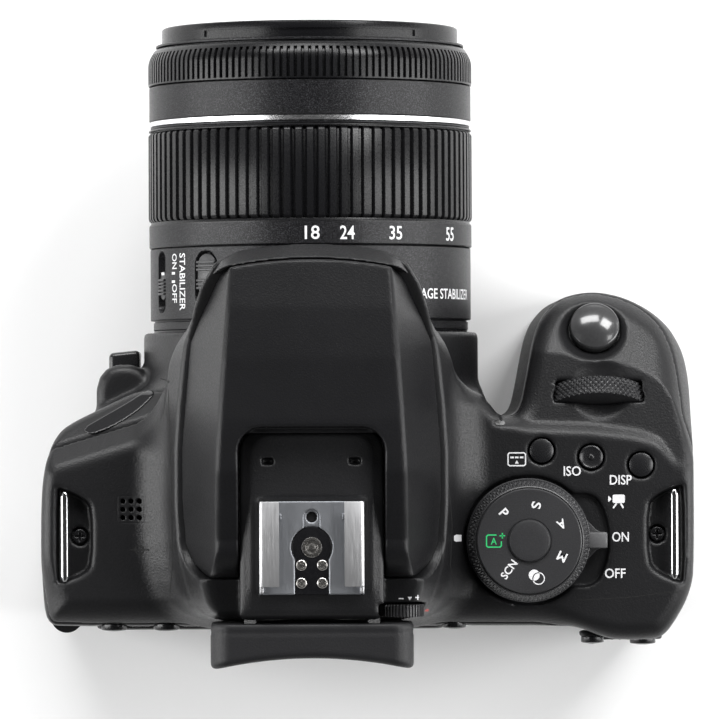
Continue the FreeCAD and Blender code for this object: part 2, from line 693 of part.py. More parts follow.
def terminal_sockets():
    """The block of jacks behind the side covers."""
    block = box(46.0, LEFT_X - WALL - 0.15, 5.6, 22.4, 10.0, 64.0)
    ends = [box(46.0, LEFT_X - WALL, 5.6, 22.4, z0, z1) for z0, z1 in ((10, 13.4), (60.6, 64))]
    block = fuse(block, *ends)
    jacks = [rod(48.0, 9.0, z, 1.75, 6, (1, 0, 0)) for z in (24.0, 46.0)]
    jacks += [box(48.0, 54.0, 17.0, 20.4, z, z + height) for z, height in ((20.0, 11.0), (40.0, 8.0))]
    for jack in jacks:
        block = block.cut(jack)
    return block


DOOR = {"x0": -71.6, "x1": -53.4, "y0": -24.6, "y1": 11.6}


def battery_door_zone(grow, z0):
    d = DOOR
    return box(d["x0"] - grow, d["x1"] + grow, d["y0"] - grow, d["y1"] + grow, z0, BASE_TOP_Z + 1)


def battery_door():
    d = DOOR
    x = d["x1"] - HINGE_R
    plate = box(d["x0"], x, d["y0"], d["y1"], 0.3, BASE_TOP_Z)
    edge = rod(x, d["y0"], 0.3 + HINGE_R, HINGE_R, d["y1"] - d["y0"], (0, 1, 0))
    return fuse(plate, edge, battery_door_pin(PIN_R)).cut(latch_zone(0.2))


def battery_door_pin(r):
    d = DOOR
    return rod(d["x1"] - HINGE_R, d["y0"] - 1.2, 0.3 + HINGE_R, r, d["y1"] - d["y0"] + 2.4,
               (0, 1, 0))


def latch_zone(grow):
    d = DOOR
    return box(d["x0"] + 2.0 - grow, d["x0"] + 7.0 + 2.0 + grow, -12.0 - grow, -4.0 + grow,
               0.25 - grow, 1.5 + grow)


def battery_latch():
    d = DOOR
    return box(d["x0"] + 2.0, d["x0"] + 7.0, -12.0, -4.0, 0.3, 1.5)


def battery():
    b = box(-69.6, -55.6, -23.0, 10.0, 4.0, 53.0)
    return b.makeFillet(1.5, edges_along(b, "z"))


# ---- mirror box, shutter, sensor ----------------------------------------------------
MIRROR_PIVOT = (8.5, 57.5)     # Y and Z
MIRROR_BOX_TOP = 60.8


def mirror_box():
    """The light-tight chamber behind the mount, with its flange and the mirror's pin."""
    y, z = MIRROR_PIVOT
    outer = box(-19.0, 19.0, -21.0, 12.0, 22.6, MIRROR_BOX_TOP)
    flange = box(-27.5, 31.5, -12.0, -10.4, 14.0, 66.0)
    inner = box(-17.0, 17.0, -30.0, 20.0, 24.6, 70.0)
    return fuse(outer, flange).cut(inner).fuse(rod(-18.0, y, z, 1.0, 36.0, (1, 0, 0)))


def mirror_plate(length, half_x, thick, angle, skip=0.0):
    """A plate that hangs forward and down from the mirror pin at an angle."""
    y, z = MIRROR_PIVOT
    p = box(-half_x, half_x, y - length, y - skip, z - thick, z)
    p.rotate(V(0, y, z), V(1, 0, 0), angle)
    return p


def reflex_mirror():
    y, z = MIRROR_PIVOT
    plate = mirror_plate(27.0, 13.5, 1.2, 45.0, 1.2)
    hub = rod(-13.5, y, z, 1.9, 27.0, (1, 0, 0))
    return fuse(plate, hub).cut(rod(-20, y, z, 1.07, 40, (1, 0, 0)))


SHUTTER_WINDOW = (11.8, 8.0)
BLADES = 2


def shutter_frame():
    outer = box(-19.0, 19.0, 12.0, 16.6, 20.0, 58.0)
    w, h = SHUTTER_WINDOW
    window = box(-w, w, 10.0, 20.0, AXIS_Z - h, AXIS_Z + h)
    slot = box(-15.0, 15.0, 13.2, 15.8, 22.0, AXIS_Z + h + 2.0)
    return outer.cut(window).cut(slot)


def shutter_blade(n):
    """Blade n of the curtain, 1 at the top. Each lower blade lies one step further back."""
    h = SHUTTER_WINDOW[1]
    pitch = 2 * h / BLADES
    top = AXIS_Z + h + 0.8 - (n - 1) * pitch
    y = 13.4 + (n - 1) * 0.5
    return box(-14.5, 14.5, y, y + 0.2, top - pitch - 1.2, top)


def image_sensor():
    """The sensor on its board, held off the shutter by two posts."""
    chip = box(-13.5, 13.5, SENSOR_Y, SENSOR_Y + 2.0, AXIS_Z - 9.5, AXIS_Z + 9.5)
    board = box(-19.0, 19.0, SENSOR_Y + 2.0, SENSOR_Y + 3.4, AXIS_Z - 16.0, AXIS_Z + 14.0)
    posts = [box(x - 1.0, x + 1.0, 16.6, SENSOR_Y + 2.0, AXIS_Z - 16.0, AXIS_Z + 14.0)
             for x in (-18.0, 18.0)]
    return fuse(chip, board, *posts)


# ---- lens mount ---------------------------------------------------------------------
def lens_mount_ring():
    """Stainless bayonet ring on the body."""
    return lens_tube(32.5, 27.1, FLANGE_Y, FLANGE_Y + 2.0)


def lens_release_button():
    r = RELEASE
    b = release_zone(0.0, r["front"])
    slant = front_profile([(r["x0"] - 1, r["z0"] - 1), (r["x1"] + 1, r["z0"] - 1),
                           (r["x1"] + 1, r["z1"] + 1), (r["x0"] - 1, r["z1"] + 1)],
                          r["front"] - 3.0, r["front"])
    slant.rotate(V(r["x0"], r["front"], 0), V(0, 0, 1), 9.0)
    return b.cut(slant)


# ---- lens ---------------------------------------------------------------------------
SLEEVE = (31.7, 31.0)          # outer and inner radius of the fixed sleeve
ZOOM_Y = (-67.5, -43.1)
FOCUS_Y = (-84.0, -76.4)
BAND_Y = (-76.2, -69.2)


def lens_barrel():
    """The fixed barrel with its sleeve, name band, bayonet and the cell of the rear glass."""
    tubes = [(32.9, 29.4, -42.9, -28.3), (32.3, 24.4, -28.3, FLANGE_Y),
             (26.7, 24.4, FLANGE_Y, -21.5), (SLEEVE[0], SLEEVE[1], -84.2, -40.0),
             (32.9, SLEEVE[1], -42.9, -40.0), (33.05, SLEEVE[1], BAND_Y[0], BAND_Y[1]),
             (31.7, 30.75, -84.9, -84.2), (29.4, 12.6, -34.0, -30.0),
             (14.5, 11.1, -44.0, -34.0)]
    barrel = fuse(*[lens_tube(*t) for t in tubes])
    for name in SWITCH_ANGLES:
        barrel = barrel.cut(switch_solid(name, slot=True))
    return barrel


SWITCH_SIZE = {"af_mf_switch": (2.5, 4.4, -37.3), "stabilizer_switch": (1.5, 2.7, -35.6)}
SWITCH_TRAVEL = 1.8


def switch_solid(name, slot=False):
    half_w, half_l, y = SWITCH_SIZE[name]
    if slot:
        s = box(-half_w - GAP, half_w + GAP, y - half_l - GAP, y + half_l + SWITCH_TRAVEL + GAP,
                AXIS_Z + 30.9, AXIS_Z + 36.0)
    else:
        s = box(-half_w, half_w, y - half_l, y + half_l, AXIS_Z + 31.1, AXIS_Z + 33.5)
    return about_lens(s, SWITCH_ANGLES[name])


def zoom_ring():
    y0, y1 = ZOOM_Y
    ring = lens_tube(33.05, SLEEVE[0] + 0.1, y0, y1)
    grip = lens_tube(LENS_R, SLEEVE[0] + 0.1, y0 + 0.3, -47.9)
    return fuse(ring, grip)


def focus_ring():
    y0, y1 = FOCUS_Y
    ring = lens_rod(LENS_R, y0, y1)
    rim = [e for e in ring.Edges if e.CenterOfMass.y < y0 + 0.1 and e.Closed]
    ring = ring.makeFillet(1.1, rim)
    return ring.cut(lens_rod(SLEEVE[0] + 0.1, y0 - 1, y1 + 1))


def silver_ring():
    return lens_tube(32.95, SLEEVE[0], BAND_Y[1], BAND_Y[1] + 1.1)


def inner_barrel():
    """The front tube that moves out as the lens zooms in, with the filter thread."""
    y = LENS_FRONT_Y
    cone = Part.makeCone(29.0, 21.4, 5.0, V(0, y + 3.2, AXIS_Z), V(0, 1, 0))
    dish = lens_rod(28.7, y + 3.2, y + 10.0).cut(cone).cut(lens_rod(21.4, y, -60.0))
    tubes = [(30.4, 29.0, y, y + 3.2), (30.4, 28.6, y + 3.2, -52.0), (28.7, 17.1, -73.5, -68.5)]
    return fuse(dish, *[lens_tube(*t) for t in tubes])


def lens_element(r, y, thick, bulge):
    """A biconvex glass element with its middle at y, turned from half of its section."""
    radius = (r * r + bulge * bulge) / (2 * bulge)
    half_angle = math.asin(r / radius) / 2
    rise, sag = radius * math.sin(half_angle), radius * (1 - math.cos(half_angle))
    edge, pole = thick / 2, thick / 2 + bulge

    def at(height, offset):
        return V(0, y + offset, AXIS_Z + height)

    front = Part.Arc(at(0, -pole), at(rise, sag - pole), at(r, -edge)).toShape()
    rim = Part.LineSegment(at(r, -edge), at(r, edge)).toShape()
    rear = Part.Arc(at(r, edge), at(rise, pole - sag), at(0, pole)).toShape()
    axis = Part.LineSegment(at(0, pole), at(0, -pole)).toShape()
    section = Part.Face(Part.Wire([front, rim, rear, axis]))
    return section.revolve(at(0, 0), V(0, 1, 0), 360)


def front_lens_group():
    return Part.makeCompound([lens_element(21.4, LENS_FRONT_Y + 9.2, 3.6, 2.4),
                              lens_element(17.1, -71.0, 3.0, 1.6)])


def rear_lens_group():
    return Part.makeCompound([lens_element(11.1, -40.0, 3.0, 1.4),
                              lens_element(12.6, -32.0, 3.0, 1.4)])


def iris_unit():
    """The aperture: a ring with its blades closed down a little."""
    ring = lens_tube(16.0, 13.5, -47.2, -44.0)
    sides = 7
    corners = [V(7.0 * math.sin(2 * math.pi * k / sides), -46.0,
                 AXIS_Z + 7.0 * math.cos(2 * math.pi * k / sides)) for k in range(sides)]
    hole = Part.Face(Part.makePolygon(corners + corners[:1])).extrude(V(0, 2, 0))
    return fuse(ring, lens_rod(13.5, -45.6, -45.2).cut(hole))


PARTS = {
    "base_cover": base_cover, "front_cover": front_cover, "rear_cover": rear_cover,
    "top_cover": top_cover, "grip_rubber": grip_rubber, "thumb_rubber": thumb_rubber,
    "case_screws": case_screws, "tripod_socket": tripod_socket, "strap_lugs": strap_lugs,
    "eyecup": eyecup, "eyepiece_lens": eyepiece_lens, "pentamirror": pentamirror,
    "diopter_knob": diopter_knob, "hot_shoe": hot_shoe, "shoe_contacts": shoe_contacts,
    "flash_head": flash_head, "flash_window": flash_window, "shutter_button": shutter_button,
    "main_dial": main_dial, "mode_dial": mode_dial, "power_lever": power_lever,
    "rear_dial": rear_dial, "set_button": set_button, "monitor_housing": monitor_housing,
    "monitor_glass": monitor_glass, "monitor_hinge": monitor_hinge,
    "terminal_sockets": terminal_sockets, "battery_door": battery_door,
    "battery_latch": battery_latch, "battery": battery, "mirror_box": mirror_box,
    "reflex_mirror": reflex_mirror, "shutter_frame": shutter_frame, "image_sensor": image_sensor,
    "lens_mount_ring": lens_mount_ring, "lens_release_button": lens_release_button,
    "lens_barrel": lens_barrel, "zoom_ring": zoom_ring, "focus_ring": focus_ring,
    "silver_ring": silver_ring, "inner_barrel": inner_barrel,
    "front_lens_group": front_lens_group, "rear_lens_group": rear_lens_group,
    "iris_unit": iris_unit,
}


def main():
    os.makedirs("parts", exist_ok=True)
    shapes = {name: make() for name, make in PARTS.items()}
    for name in TOP_BUTTONS:
        shapes[name] = top_button(name)
    for name in REAR_BUTTONS:
        shapes[name] = rear_button(name)
    for name in TERMINAL_Y:
        shapes[name] = terminal_cover(name)
    for name in SWITCH_ANGLES:
        shapes[name] = switch_solid(name)
    for n in range(1, BLADES + 1):
        shapes[f"shutter_blade_{n}"] = shutter_blade(n)
    for name, shape in shapes.items():
        shape.exportStep(f"parts/{name}.step")
    print(len(shapes), "nodes")


main()
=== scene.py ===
"""Looks of a single-lens reflex camera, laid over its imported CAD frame.

Points are in millimetres until piece() makes metres of them: +Z up, the lens along -Y, the hand
grip at -X. Most covers and soft parts are grids of distances (class Form), from which wells, slots
and bores are cut. Rings and knobs are turned profiles, and printed marks are thin flat meshes.
"""
import bpy
import bmesh
import json
import math
import numpy as np
from mathutils import Matrix, Vector


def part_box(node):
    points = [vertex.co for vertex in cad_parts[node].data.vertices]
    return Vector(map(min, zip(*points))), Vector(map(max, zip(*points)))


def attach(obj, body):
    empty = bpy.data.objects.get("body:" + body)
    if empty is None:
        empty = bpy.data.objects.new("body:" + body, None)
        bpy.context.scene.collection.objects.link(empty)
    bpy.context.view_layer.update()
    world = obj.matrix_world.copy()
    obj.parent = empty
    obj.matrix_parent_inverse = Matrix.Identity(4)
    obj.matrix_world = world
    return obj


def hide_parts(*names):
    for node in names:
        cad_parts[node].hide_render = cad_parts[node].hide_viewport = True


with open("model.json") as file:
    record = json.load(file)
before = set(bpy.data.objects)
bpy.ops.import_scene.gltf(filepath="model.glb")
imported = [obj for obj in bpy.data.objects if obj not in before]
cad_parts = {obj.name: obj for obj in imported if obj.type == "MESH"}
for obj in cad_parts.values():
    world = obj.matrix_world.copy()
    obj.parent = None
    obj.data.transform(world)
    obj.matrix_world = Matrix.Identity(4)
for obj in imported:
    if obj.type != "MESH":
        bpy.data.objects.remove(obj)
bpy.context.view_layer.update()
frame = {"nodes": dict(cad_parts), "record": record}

AXIS_Z = 41.5
SHOULDER_Z = 74.0
PLATEAU_Z = 97.2
REAR_Y = 33.5
LID_Z = 70.0          # seam between the top cover and the covers below it
SIDE_Y = 13.8         # seam between the front and the rear cover
BASE_Z = 2.5          # seam of the base cover
SEAM = 0.06           # half the gap at a seam
WELL_Z = 71.5         # lower than this, the top cover's surface is in a control's well
DECK_EDGE_Z = 72.0
PIVOT = (15.5, 90.0)  # the flash head's pivot, as y and z
HUMP_BACK = 31.4
BOLD = 0.012          # how much most printed letters are thickened
PRINT = 0.04          # how far printed marks stand off a surface
UP = (0, 0, 1)
BACKWARD = (0, 1, 0)
BODY_OF = {n: b for b, nodes in frame["record"]["behaviour"]["bodies"].items() for n in nodes}
SLOT_OF = {s["node"]: s["material_slot"] for s in frame["record"]["subparts"]}


def node_box(node_name):
    """A CAD node's lowest and highest corners, in millimetres."""
    lo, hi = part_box(node_name)
    return np.array(lo) * 1000, np.array(hi) * 1000


# ---- materials ----------------------------------------------------------------------
def new_material(name, color, rough, metallic=0.0, **sockets):
    m = bpy.data.materials.new(name)
    m.use_nodes = True
    b = m.node_tree.nodes["Principled BSDF"]
    b.inputs["Base Color"].default_value = (*color, 1)
    b.inputs["Roughness"].default_value = rough
    b.inputs["Metallic"].default_value = metallic
    for key, value in sockets.items():
        b.inputs[key.replace("_", " ")].default_value = value
    return m


def node(m, kind, **values):
    n = m.node_tree.nodes.new(kind)
    for key, value in values.items():
        if key in n.inputs:
            n.inputs[key].default_value = value
        else:
            setattr(n, key, value)
    return n


def link(m, a, b):
    m.node_tree.links.new(a, b)


def coords(m):
    return node(m, "ShaderNodeTexCoord").outputs["Object"]


def noise(m, vector, scale, detail=3.0, rough=0.55):
    n = node(m, "ShaderNodeTexNoise", Scale=scale, Detail=detail, Roughness=rough)
    link(m, vector, n.inputs["Vector"])
    return n.outputs["Fac"]


def ramp(m, fac, stops):
    r = node(m, "ShaderNodeValToRGB")
    r.color_ramp.elements[0].position, r.color_ramp.elements[1].position = stops[0][0], stops[-1][0]
    r.color_ramp.elements[0].color = (*stops[0][1], 1)
    r.color_ramp.elements[1].color = (*stops[-1][1], 1)
    link(m, fac, r.inputs["Fac"])
    return r.outputs["Color"]


def map_range(m, fac, lo, hi, to_lo, to_hi):
    r = node(m, "ShaderNodeMapRange")
    for i, v in enumerate((lo, hi, to_lo, to_hi)):
        r.inputs[i + 1].default_value = v
    link(m, fac, r.inputs["Value"])
    return r.outputs["Result"]


def bump(m, height, distance, strength=1.0, below=None):
    b = node(m, "ShaderNodeBump", Distance=distance, Strength=strength)
    link(m, height, b.inputs["Height"])
    if below is not None:
        link(m, below, b.inputs["Normal"])
    return b.outputs["Normal"]


def grained(name, dark, light, rough, grain, depth, spread=0.08, fine=None, **sockets):
    """Moulded plastic or rubber: a fine grain in height, colour and roughness, and slow mottling."""
    m = new_material(name, dark, rough, **sockets)
    b = m.node_tree.nodes["Principled BSDF"]
    at = coords(m)
    small = noise(m, at, grain, 2.0, 0.6)
    slow = noise(m, at, 60.0, 3.0)
    mix = node(m, "ShaderNodeMix", data_type="RGBA", blend_type="MIX")
    mix.inputs["Factor"].default_value = 0.3
    link(m, ramp(m, small, [(0.36, dark), (0.68, light)]), mix.inputs[6])
    link(m, ramp(m, slow, [(0.3, dark), (0.7, light)]), mix.inputs[7])
    link(m, mix.outputs[2], b.inputs["Base Color"])
    link(m, map_range(m, small, 0.3, 0.7, rough + spread, rough - spread), b.inputs["Roughness"])
    normal = bump(m, small, depth)
    if fine:
        cells = node(m, "ShaderNodeTexVoronoi", Scale=fine)
        link(m, at, cells.inputs["Vector"])
        normal = bump(m, cells.outputs["Distance"], depth * 1.5, 0.8, normal)
    link(m, normal, b.inputs["Normal"])
    return m


def brushed(name, color, rough, axis, scale=260.0):
    """Metal with a fine directional brushing along one axis."""
    m = new_material(name, color, rough, 1.0)
    b = m.node_tree.nodes["Principled BSDF"]
    mapping = node(m, "ShaderNodeMapping")
    stretch = [scale, scale, scale]
    stretch["xyz".index(axis)] = scale * 0.03
    mapping.inputs["Scale"].default_value = stretch
    link(m, coords(m), mapping.inputs["Vector"])
    lines = noise(m, mapping.outputs["Vector"], 30.0, 4.0, 0.7)
    link(m, map_range(m, lines, 0.3, 0.7, rough - 0.05, rough + 0.07), b.inputs["Roughness"])
    link(m, bump(m, lines, 0.000004, 0.4), b.inputs["Normal"])
    return m


def spun(name, color, rough):
    """Turned metal with a faint mottle."""
    m = new_material(name, color, rough, 1.0)
    b = m.node_tree.nodes["Principled BSDF"]
    grain = noise(m, coords(m), 2400.0, 3.0)
    link(m, map_range(m, grain, 0.3, 0.7, rough - 0.03, rough + 0.05), b.inputs["Roughness"])
    link(m, bump(m, grain, 0.000002, 0.3), b.inputs["Normal"])
    return m


def flaked(name, dark, light, rough):
    """Satin paint with fine metallic flakes."""
    m = new_material(name, dark, rough, 0.2, Specular_IOR_Level=0.25)
    b = m.node_tree.nodes["Principled BSDF"]
    flakes = node(m, "ShaderNodeTexVoronoi", Scale=4200.0)
    link(m, coords(m), flakes.inputs["Vector"])
    sparkle = noise(m, coords(m), 5200.0, 1.0)
    link(m, ramp(m, sparkle, [(0.48, dark), (0.74, light)]), b.inputs["Base Color"])
    link(m, map_range(m, flakes.outputs["Distance"], 0.0, 0.6, rough - 0.1, rough + 0.12),
         b.inputs["Roughness"])
    link(m, bump(m, sparkle, 0.00001, 0.6), b.inputs["Normal"])
    return m


def coated_glass(name, tint):
    m = new_material(name, tint, 0.03, 0.0, Specular_IOR_Level=0.4)
    b = m.node_tree.nodes["Principled BSDF"]
    # The base colour is painted lighter and bluer towards grazing angles: a painted sheen standing for the
    # coating's reflection.
    painted_sheen_weight = node(m, "ShaderNodeLayerWeight", Blend=0.35)
    link(m, ramp(m, painted_sheen_weight.outputs["Facing"], [(0.1, tint), (0.9, (0.020, 0.030, 0.042))]),
         b.inputs["Base Color"])
    link(m, bump(m, noise(m, coords(m), 900.0), 0.000004, 0.2), b.inputs["Normal"])
    return m


MAT = {
    "body": grained("body_plastic", (0.006, 0.006, 0.0065), (0.013, 0.013, 0.014), 0.38, 2600.0, 0.00006,
                    Specular_IOR_Level=0.32),
    # The flash head's plastic is a darker copy of the body's plastic: painted shade that tones down the light
    # falling on its top.
    "hump": grained("hump_plastic_painted_shade", (0.004, 0.004, 0.0045), (0.010, 0.010, 0.011), 0.36, 3000.0, 0.00004,
                    Specular_IOR_Level=0.22),
    "skin": grained("grip_rubber_skin", (0.008, 0.008, 0.008), (0.020, 0.020, 0.021), 0.66, 1500.0,
                    0.00012, fine=900.0),
    "rubber": grained("soft_rubber", (0.004, 0.004, 0.005), (0.010, 0.010, 0.011), 0.52, 3200.0, 0.00004,
                      Specular_IOR_Level=0.35),
    "lens": grained("lens_plastic", (0.002, 0.002, 0.0025), (0.007, 0.007, 0.008), 0.27, 3600.0, 0.000012,
                    Specular_IOR_Level=0.22),
    "ribs": grained("ribbed_rubber", (0.003, 0.003, 0.0035), (0.008, 0.008, 0.009), 0.30, 3200.0, 0.00001,
                    Specular_IOR_Level=0.3),
    "band": flaked("band_flake", (0.003, 0.003, 0.0035), (0.050, 0.050, 0.054), 0.30),
    "dial": grained("dial_plastic", (0.016, 0.016, 0.017), (0.034, 0.034, 0.036), 0.36, 3600.0, 0.00003),
    "gloss": grained("gloss_black", (0.006, 0.006, 0.007), (0.010, 0.010, 0.011), 0.16, 900.0, 0.000004,
                     spread=0.03),
    "button": grained("button_satin", (0.008, 0.008, 0.009), (0.013, 0.013, 0.014), 0.26, 2600.0, 0.000006,
                      spread=0.04),
    # Near-black matte: the real colour of the inner parts and of the image-plane print, and painted shade
    # where it draws the seam lines.
    "shade": grained("matte_black_and_painted_shade", (0.002, 0.002, 0.002), (0.004, 0.004, 0.004), 0.85, 1200.0, 0.00004),
    "release": grained("release_gloss", (0.030, 0.030, 0.031), (0.040, 0.040, 0.041), 0.22, 1600.0,
                       0.000008, spread=0.03, Coat_Weight=0.6, Coat_Roughness=0.08),
    "lever": grained("lever_grey", (0.075, 0.075, 0.077), (0.100, 0.100, 0.102), 0.38, 2600.0, 0.00003),
    "screen": grained("screen_gloss", (0.004, 0.004, 0.005), (0.006, 0.006, 0.007), 0.06, 700.0,
                      0.000001, spread=0.01, Coat_Weight=1.0, Coat_Roughness=0.02),
    "lamp": grained("lamp_lens", (0.10, 0.10, 0.10), (0.14, 0.14, 0.14), 0.2, 900.0, 0.000004,
                    spread=0.03),
    "spun": spun("contact_spun", (0.62, 0.60, 0.57), 0.24),
    "steel": brushed("shoe_steel", (0.60, 0.60, 0.61), 0.42, "y"),
    "plate": brushed("shoe_plate", (0.30, 0.31, 0.33), 0.48, "y"),
    "chrome": brushed("lug_steel", (0.80, 0.80, 0.81), 0.16, "y"),
    "silver": brushed("silver_ring", (0.86, 0.86, 0.87), 0.24, "x"),
    "gold": brushed("contact_metal", (0.60, 0.58, 0.54), 0.24, "x"),
    "glass": coated_glass("coated_glass", (0.010, 0.012, 0.020)),
    "mirror": brushed("mirror_silvering", (0.85, 0.86, 0.87), 0.05, "x"),
    "white": grained("label_white", (0.62, 0.62, 0.63), (0.72, 0.72, 0.73), 0.5, 900.0, 0.00001),
    "green": grained("label_green", (0.020, 0.42, 0.12), (0.030, 0.50, 0.16), 0.5, 900.0, 0.00001),
    "red": grained("label_red", (0.42, 0.02, 0.015), (0.50, 0.03, 0.02), 0.5, 900.0, 0.00001),
    "blade": brushed("blade_metal", (0.05, 0.05, 0.055), 0.45, "x"),
    "board": grained("sensor_board", (0.010, 0.045, 0.030), (0.015, 0.070, 0.050), 0.35, 900.0, 0.00003),
    "case": grained("battery_case", (0.055, 0.055, 0.06), (0.085, 0.085, 0.09), 0.5, 2200.0, 0.00005),
}


# ---- mesh pieces --------------------------------------------------------------------
def piece(name, verts, faces, mat, body, slot=None, replaces=(), smooth=True, sharp=None):
    """A mesh object from millimetre points, riding on a CAD body."""
    mesh = bpy.data.meshes.new(name)
    mesh.from_pydata((np.asarray(verts) * 0.001).tolist(), [], faces if isinstance(faces, list)
                     else faces.tolist())
    mesh.validate()
    mesh.materials.append(MAT[mat])
    mesh.polygons.foreach_set("use_smooth", [smooth] * len(mesh.polygons))
    if sharp:
        mesh.set_sharp_from_angle(angle=math.radians(sharp))
    obj = bpy.data.objects.new(name, mesh)
    bpy.context.collection.objects.link(obj)
    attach(obj, body)
    if replaces:
        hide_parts(*replaces)
    return obj


def stand_for(name, node_name, verts, faces, mat, **kw):
    """A piece that replaces a CAD node, taking its body."""
    return piece(name, verts, faces, mat, BODY_OF[node_name], SLOT_OF[node_name], [node_name], **kw)


def add_to(node_name, name, verts, faces, mat, **kw):
    """A piece that goes with a CAD node and takes its body, but doesn't replace it."""
    return piece(name, verts, faces, mat, BODY_OF[node_name], SLOT_OF[node_name], **kw)


# ---- solids worked out as distances on a grid ---------------------------------------
def meet(a, b, r):
    """Where both solids are, with the edge between them rounded to r."""
    return np.minimum(-r, np.maximum(a, b)) + np.hypot(np.maximum(a + r, 0), np.maximum(b + r, 0))


def join(a, b, r):
    """Where either solid is, with a fillet of r between them."""
    return np.maximum(r, np.minimum(a, b)) - np.hypot(np.maximum(r - a, 0), np.maximum(r - b, 0))


def ramp_up(x, lo, hi):
    """From 0 at lo to 1 at hi, easing in and out."""
    t = np.clip((x - lo) / (hi - lo), 0, 1)
    return t * t * (3 - 2 * t)


def brick(p, lo, hi, r=0.0):
    """Distance to a box with rounded edges."""
    q = [np.abs(c - (a + b) / 2) - ((b - a) / 2 - r) for c, a, b in zip(p, lo, hi)]
    outside = np.sqrt(sum(np.maximum(c, 0) ** 2 for c in q))
    return outside + np.minimum(np.maximum(np.maximum(q[0], q[1]), q[2]), 0) - r


def drum(p, x, y, z0, z1, radius, r=0.0):
    """Distance to an upright cylinder."""
    flat = np.abs(p[2] - (z0 + z1) / 2) - (z1 - z0) / 2
    return meet(np.hypot(p[0] - x, p[1] - y) - radius, flat, r + 1e-6)


def drum_y(p, x, z, y0, y1, radius, r=0.0):
    """Distance to a cylinder along Y."""
    flat = np.abs(p[1] - (y0 + y1) / 2) - (y1 - y0) / 2
    return meet(np.hypot(p[0] - x, p[2] - z) - radius, flat, r + 1e-6)


def soften(points, rounds=3):
    """Cuts a closed outline's corners, again and again."""
    pts = np.array(points, float)
    for _ in range(rounds):
        nxt = np.roll(pts, -1, axis=0)
        pts = np.stack([0.75 * pts + 0.25 * nxt, 0.25 * pts + 0.75 * nxt], axis=1).reshape(-1, 2)
    return pts


def outline_distance(pts, x, y):
    """Signed distance to a closed outline in a plane, negative inside."""
    best = np.full(np.broadcast(x, y).shape, 1e9)
    inside = np.zeros(best.shape, bool)
    for (ax, ay), (bx, by) in zip(pts, np.roll(pts, -1, axis=0)):
        ex, ey = bx - ax, by - ay
        if ex * ex + ey * ey < 1e-12:
            continue
        wx, wy = x - ax, y - ay
        t = np.clip((wx * ex + wy * ey) / (ex * ex + ey * ey), 0, 1)
        best = np.minimum(best, (wx - t * ex) ** 2 + (wy - t * ey) ** 2)
        if ay != by:
            crosses = ((ay > y) != (by > y)) & (x < ex * (y - ay) / (by - ay) + ax)
            inside ^= crosses
    return np.where(inside, -1, 1) * np.sqrt(best)


def in_plan(points, p):
    """Signed distance to an outline seen from above."""
    return outline_distance(points, p[0][:, :, 0], p[1][:, :, 0])[:, :, None]


def from_behind(p, centre, half):
    """Distance to a rectangle seen from behind the camera, zero inside it."""
    return np.hypot(*[np.maximum(np.abs(p[k] - c) - h, 0) for k, c, h in zip((0, 2), centre, half)])


class Form:
    """A solid as a grid of distances, in mm, that local features are cut from or added to."""

    def __init__(self, lo, hi, step):
        self.step = step
        self.axes = [np.arange(a - 2 * step, b + 2.5 * step, step) for a, b in zip(lo, hi)]
        self.p = np.meshgrid(*self.axes, indexing="ij", sparse=True)
        self.f = None

    def local(self, lo, hi):
        part = [slice(max(np.searchsorted(a, l) - 1, 0), np.searchsorted(a, h) + 1)
                for a, l, h in zip(self.axes, lo, hi)]
        p = [self.p[0][part[0]], self.p[1][:, part[1]], self.p[2][:, :, part[2]]]
        return tuple(part), p

    def cut(self, lo, hi, tool, r=0.0):
        part, p = self.local([v - 1.5 - r for v in lo], [v + 1.5 + r for v in hi])
        self.f[part] = meet(self.f[part], -tool(p), r + 1e-6)

    def add(self, lo, hi, tool, r=0.0):
        part, p = self.local([v - 2 - r for v in lo], [v + 2 + r for v in hi])
        self.f[part] = join(self.f[part], tool(p), r + 1e-6)

    def slot(self, lo, hi, r=0.0, corner=0.3):
        self.cut(lo, hi, lambda p: brick(p, lo, hi, corner), r)

    def bore(self, x, y, z0, z1, radius, r=0.0, corner=0.0):
        """Cuts an upright hole."""
        self.cut((x - radius, y - radius, z0), (x + radius, y + radius, z1),
                 lambda p: drum(p, x, y, z0, z1, radius, corner), r)

    def bore_y(self, x, z, y0, y1, radius, r):
        """Cuts a hole along Y."""
        self.cut((x - radius, y0, z - radius), (x + radius, y1, z + radius),
                 lambda p: drum_y(p, x, z, y0, y1, radius), r)

    def mesh(self):
        """Vertices where the surface crosses each cell, joined by quads."""
        f = self.f
        inside = f < 0
        count = sum(inside[a:f.shape[0] - 1 + a, b:f.shape[1] - 1 + b, c:f.shape[2] - 1 + c]
                    .astype(np.int8) for a in (0, 1) for b in (0, 1) for c in (0, 1))
        active = (count > 0) & (count < 8)
        cells = np.argwhere(active)
        ids = np.full(active.shape, -1, np.int64)
        ids[active] = np.arange(len(cells))
        corners = np.array([(a, b, c) for a in (0, 1) for b in (0, 1) for c in (0, 1)])
        values = [f[tuple((cells + c).T)] for c in corners]
        total, number = np.zeros((len(cells), 3)), np.zeros(len(cells))
        for i in range(8):
            for j in range(i + 1, 8):
                if np.abs(corners[i] - corners[j]).sum() != 1:
                    continue
                crosses = (values[i] < 0) != (values[j] < 0)
                t = values[i][crosses] / (values[i][crosses] - values[j][crosses])
                total[crosses] += corners[i] + t[:, None] * (corners[j] - corners[i])
                number[crosses] += 1
        origin = np.array([a[0] for a in self.axes])
        verts = (cells + total / number[:, None]) * self.step + origin
        quads = []
        for axis in range(3):
            u, v = [a for a in range(3) if a != axis]
            first = inside.take(range(f.shape[axis] - 1), axis)
            second = inside.take(range(1, f.shape[axis]), axis)
            edges = np.argwhere(first != second)
            du, dv = np.eye(3, dtype=int)[u], np.eye(3, dtype=int)[v]
            ring = np.stack([ids[tuple((edges - k).T)] for k in (0 * du, du, du + dv, dv)], 1)
            flip = first[tuple(edges.T)] ^ (axis == 1)
            ring[flip] = ring[flip][:, ::-1]
            quads.append(ring)
        return verts, np.concatenate(quads)


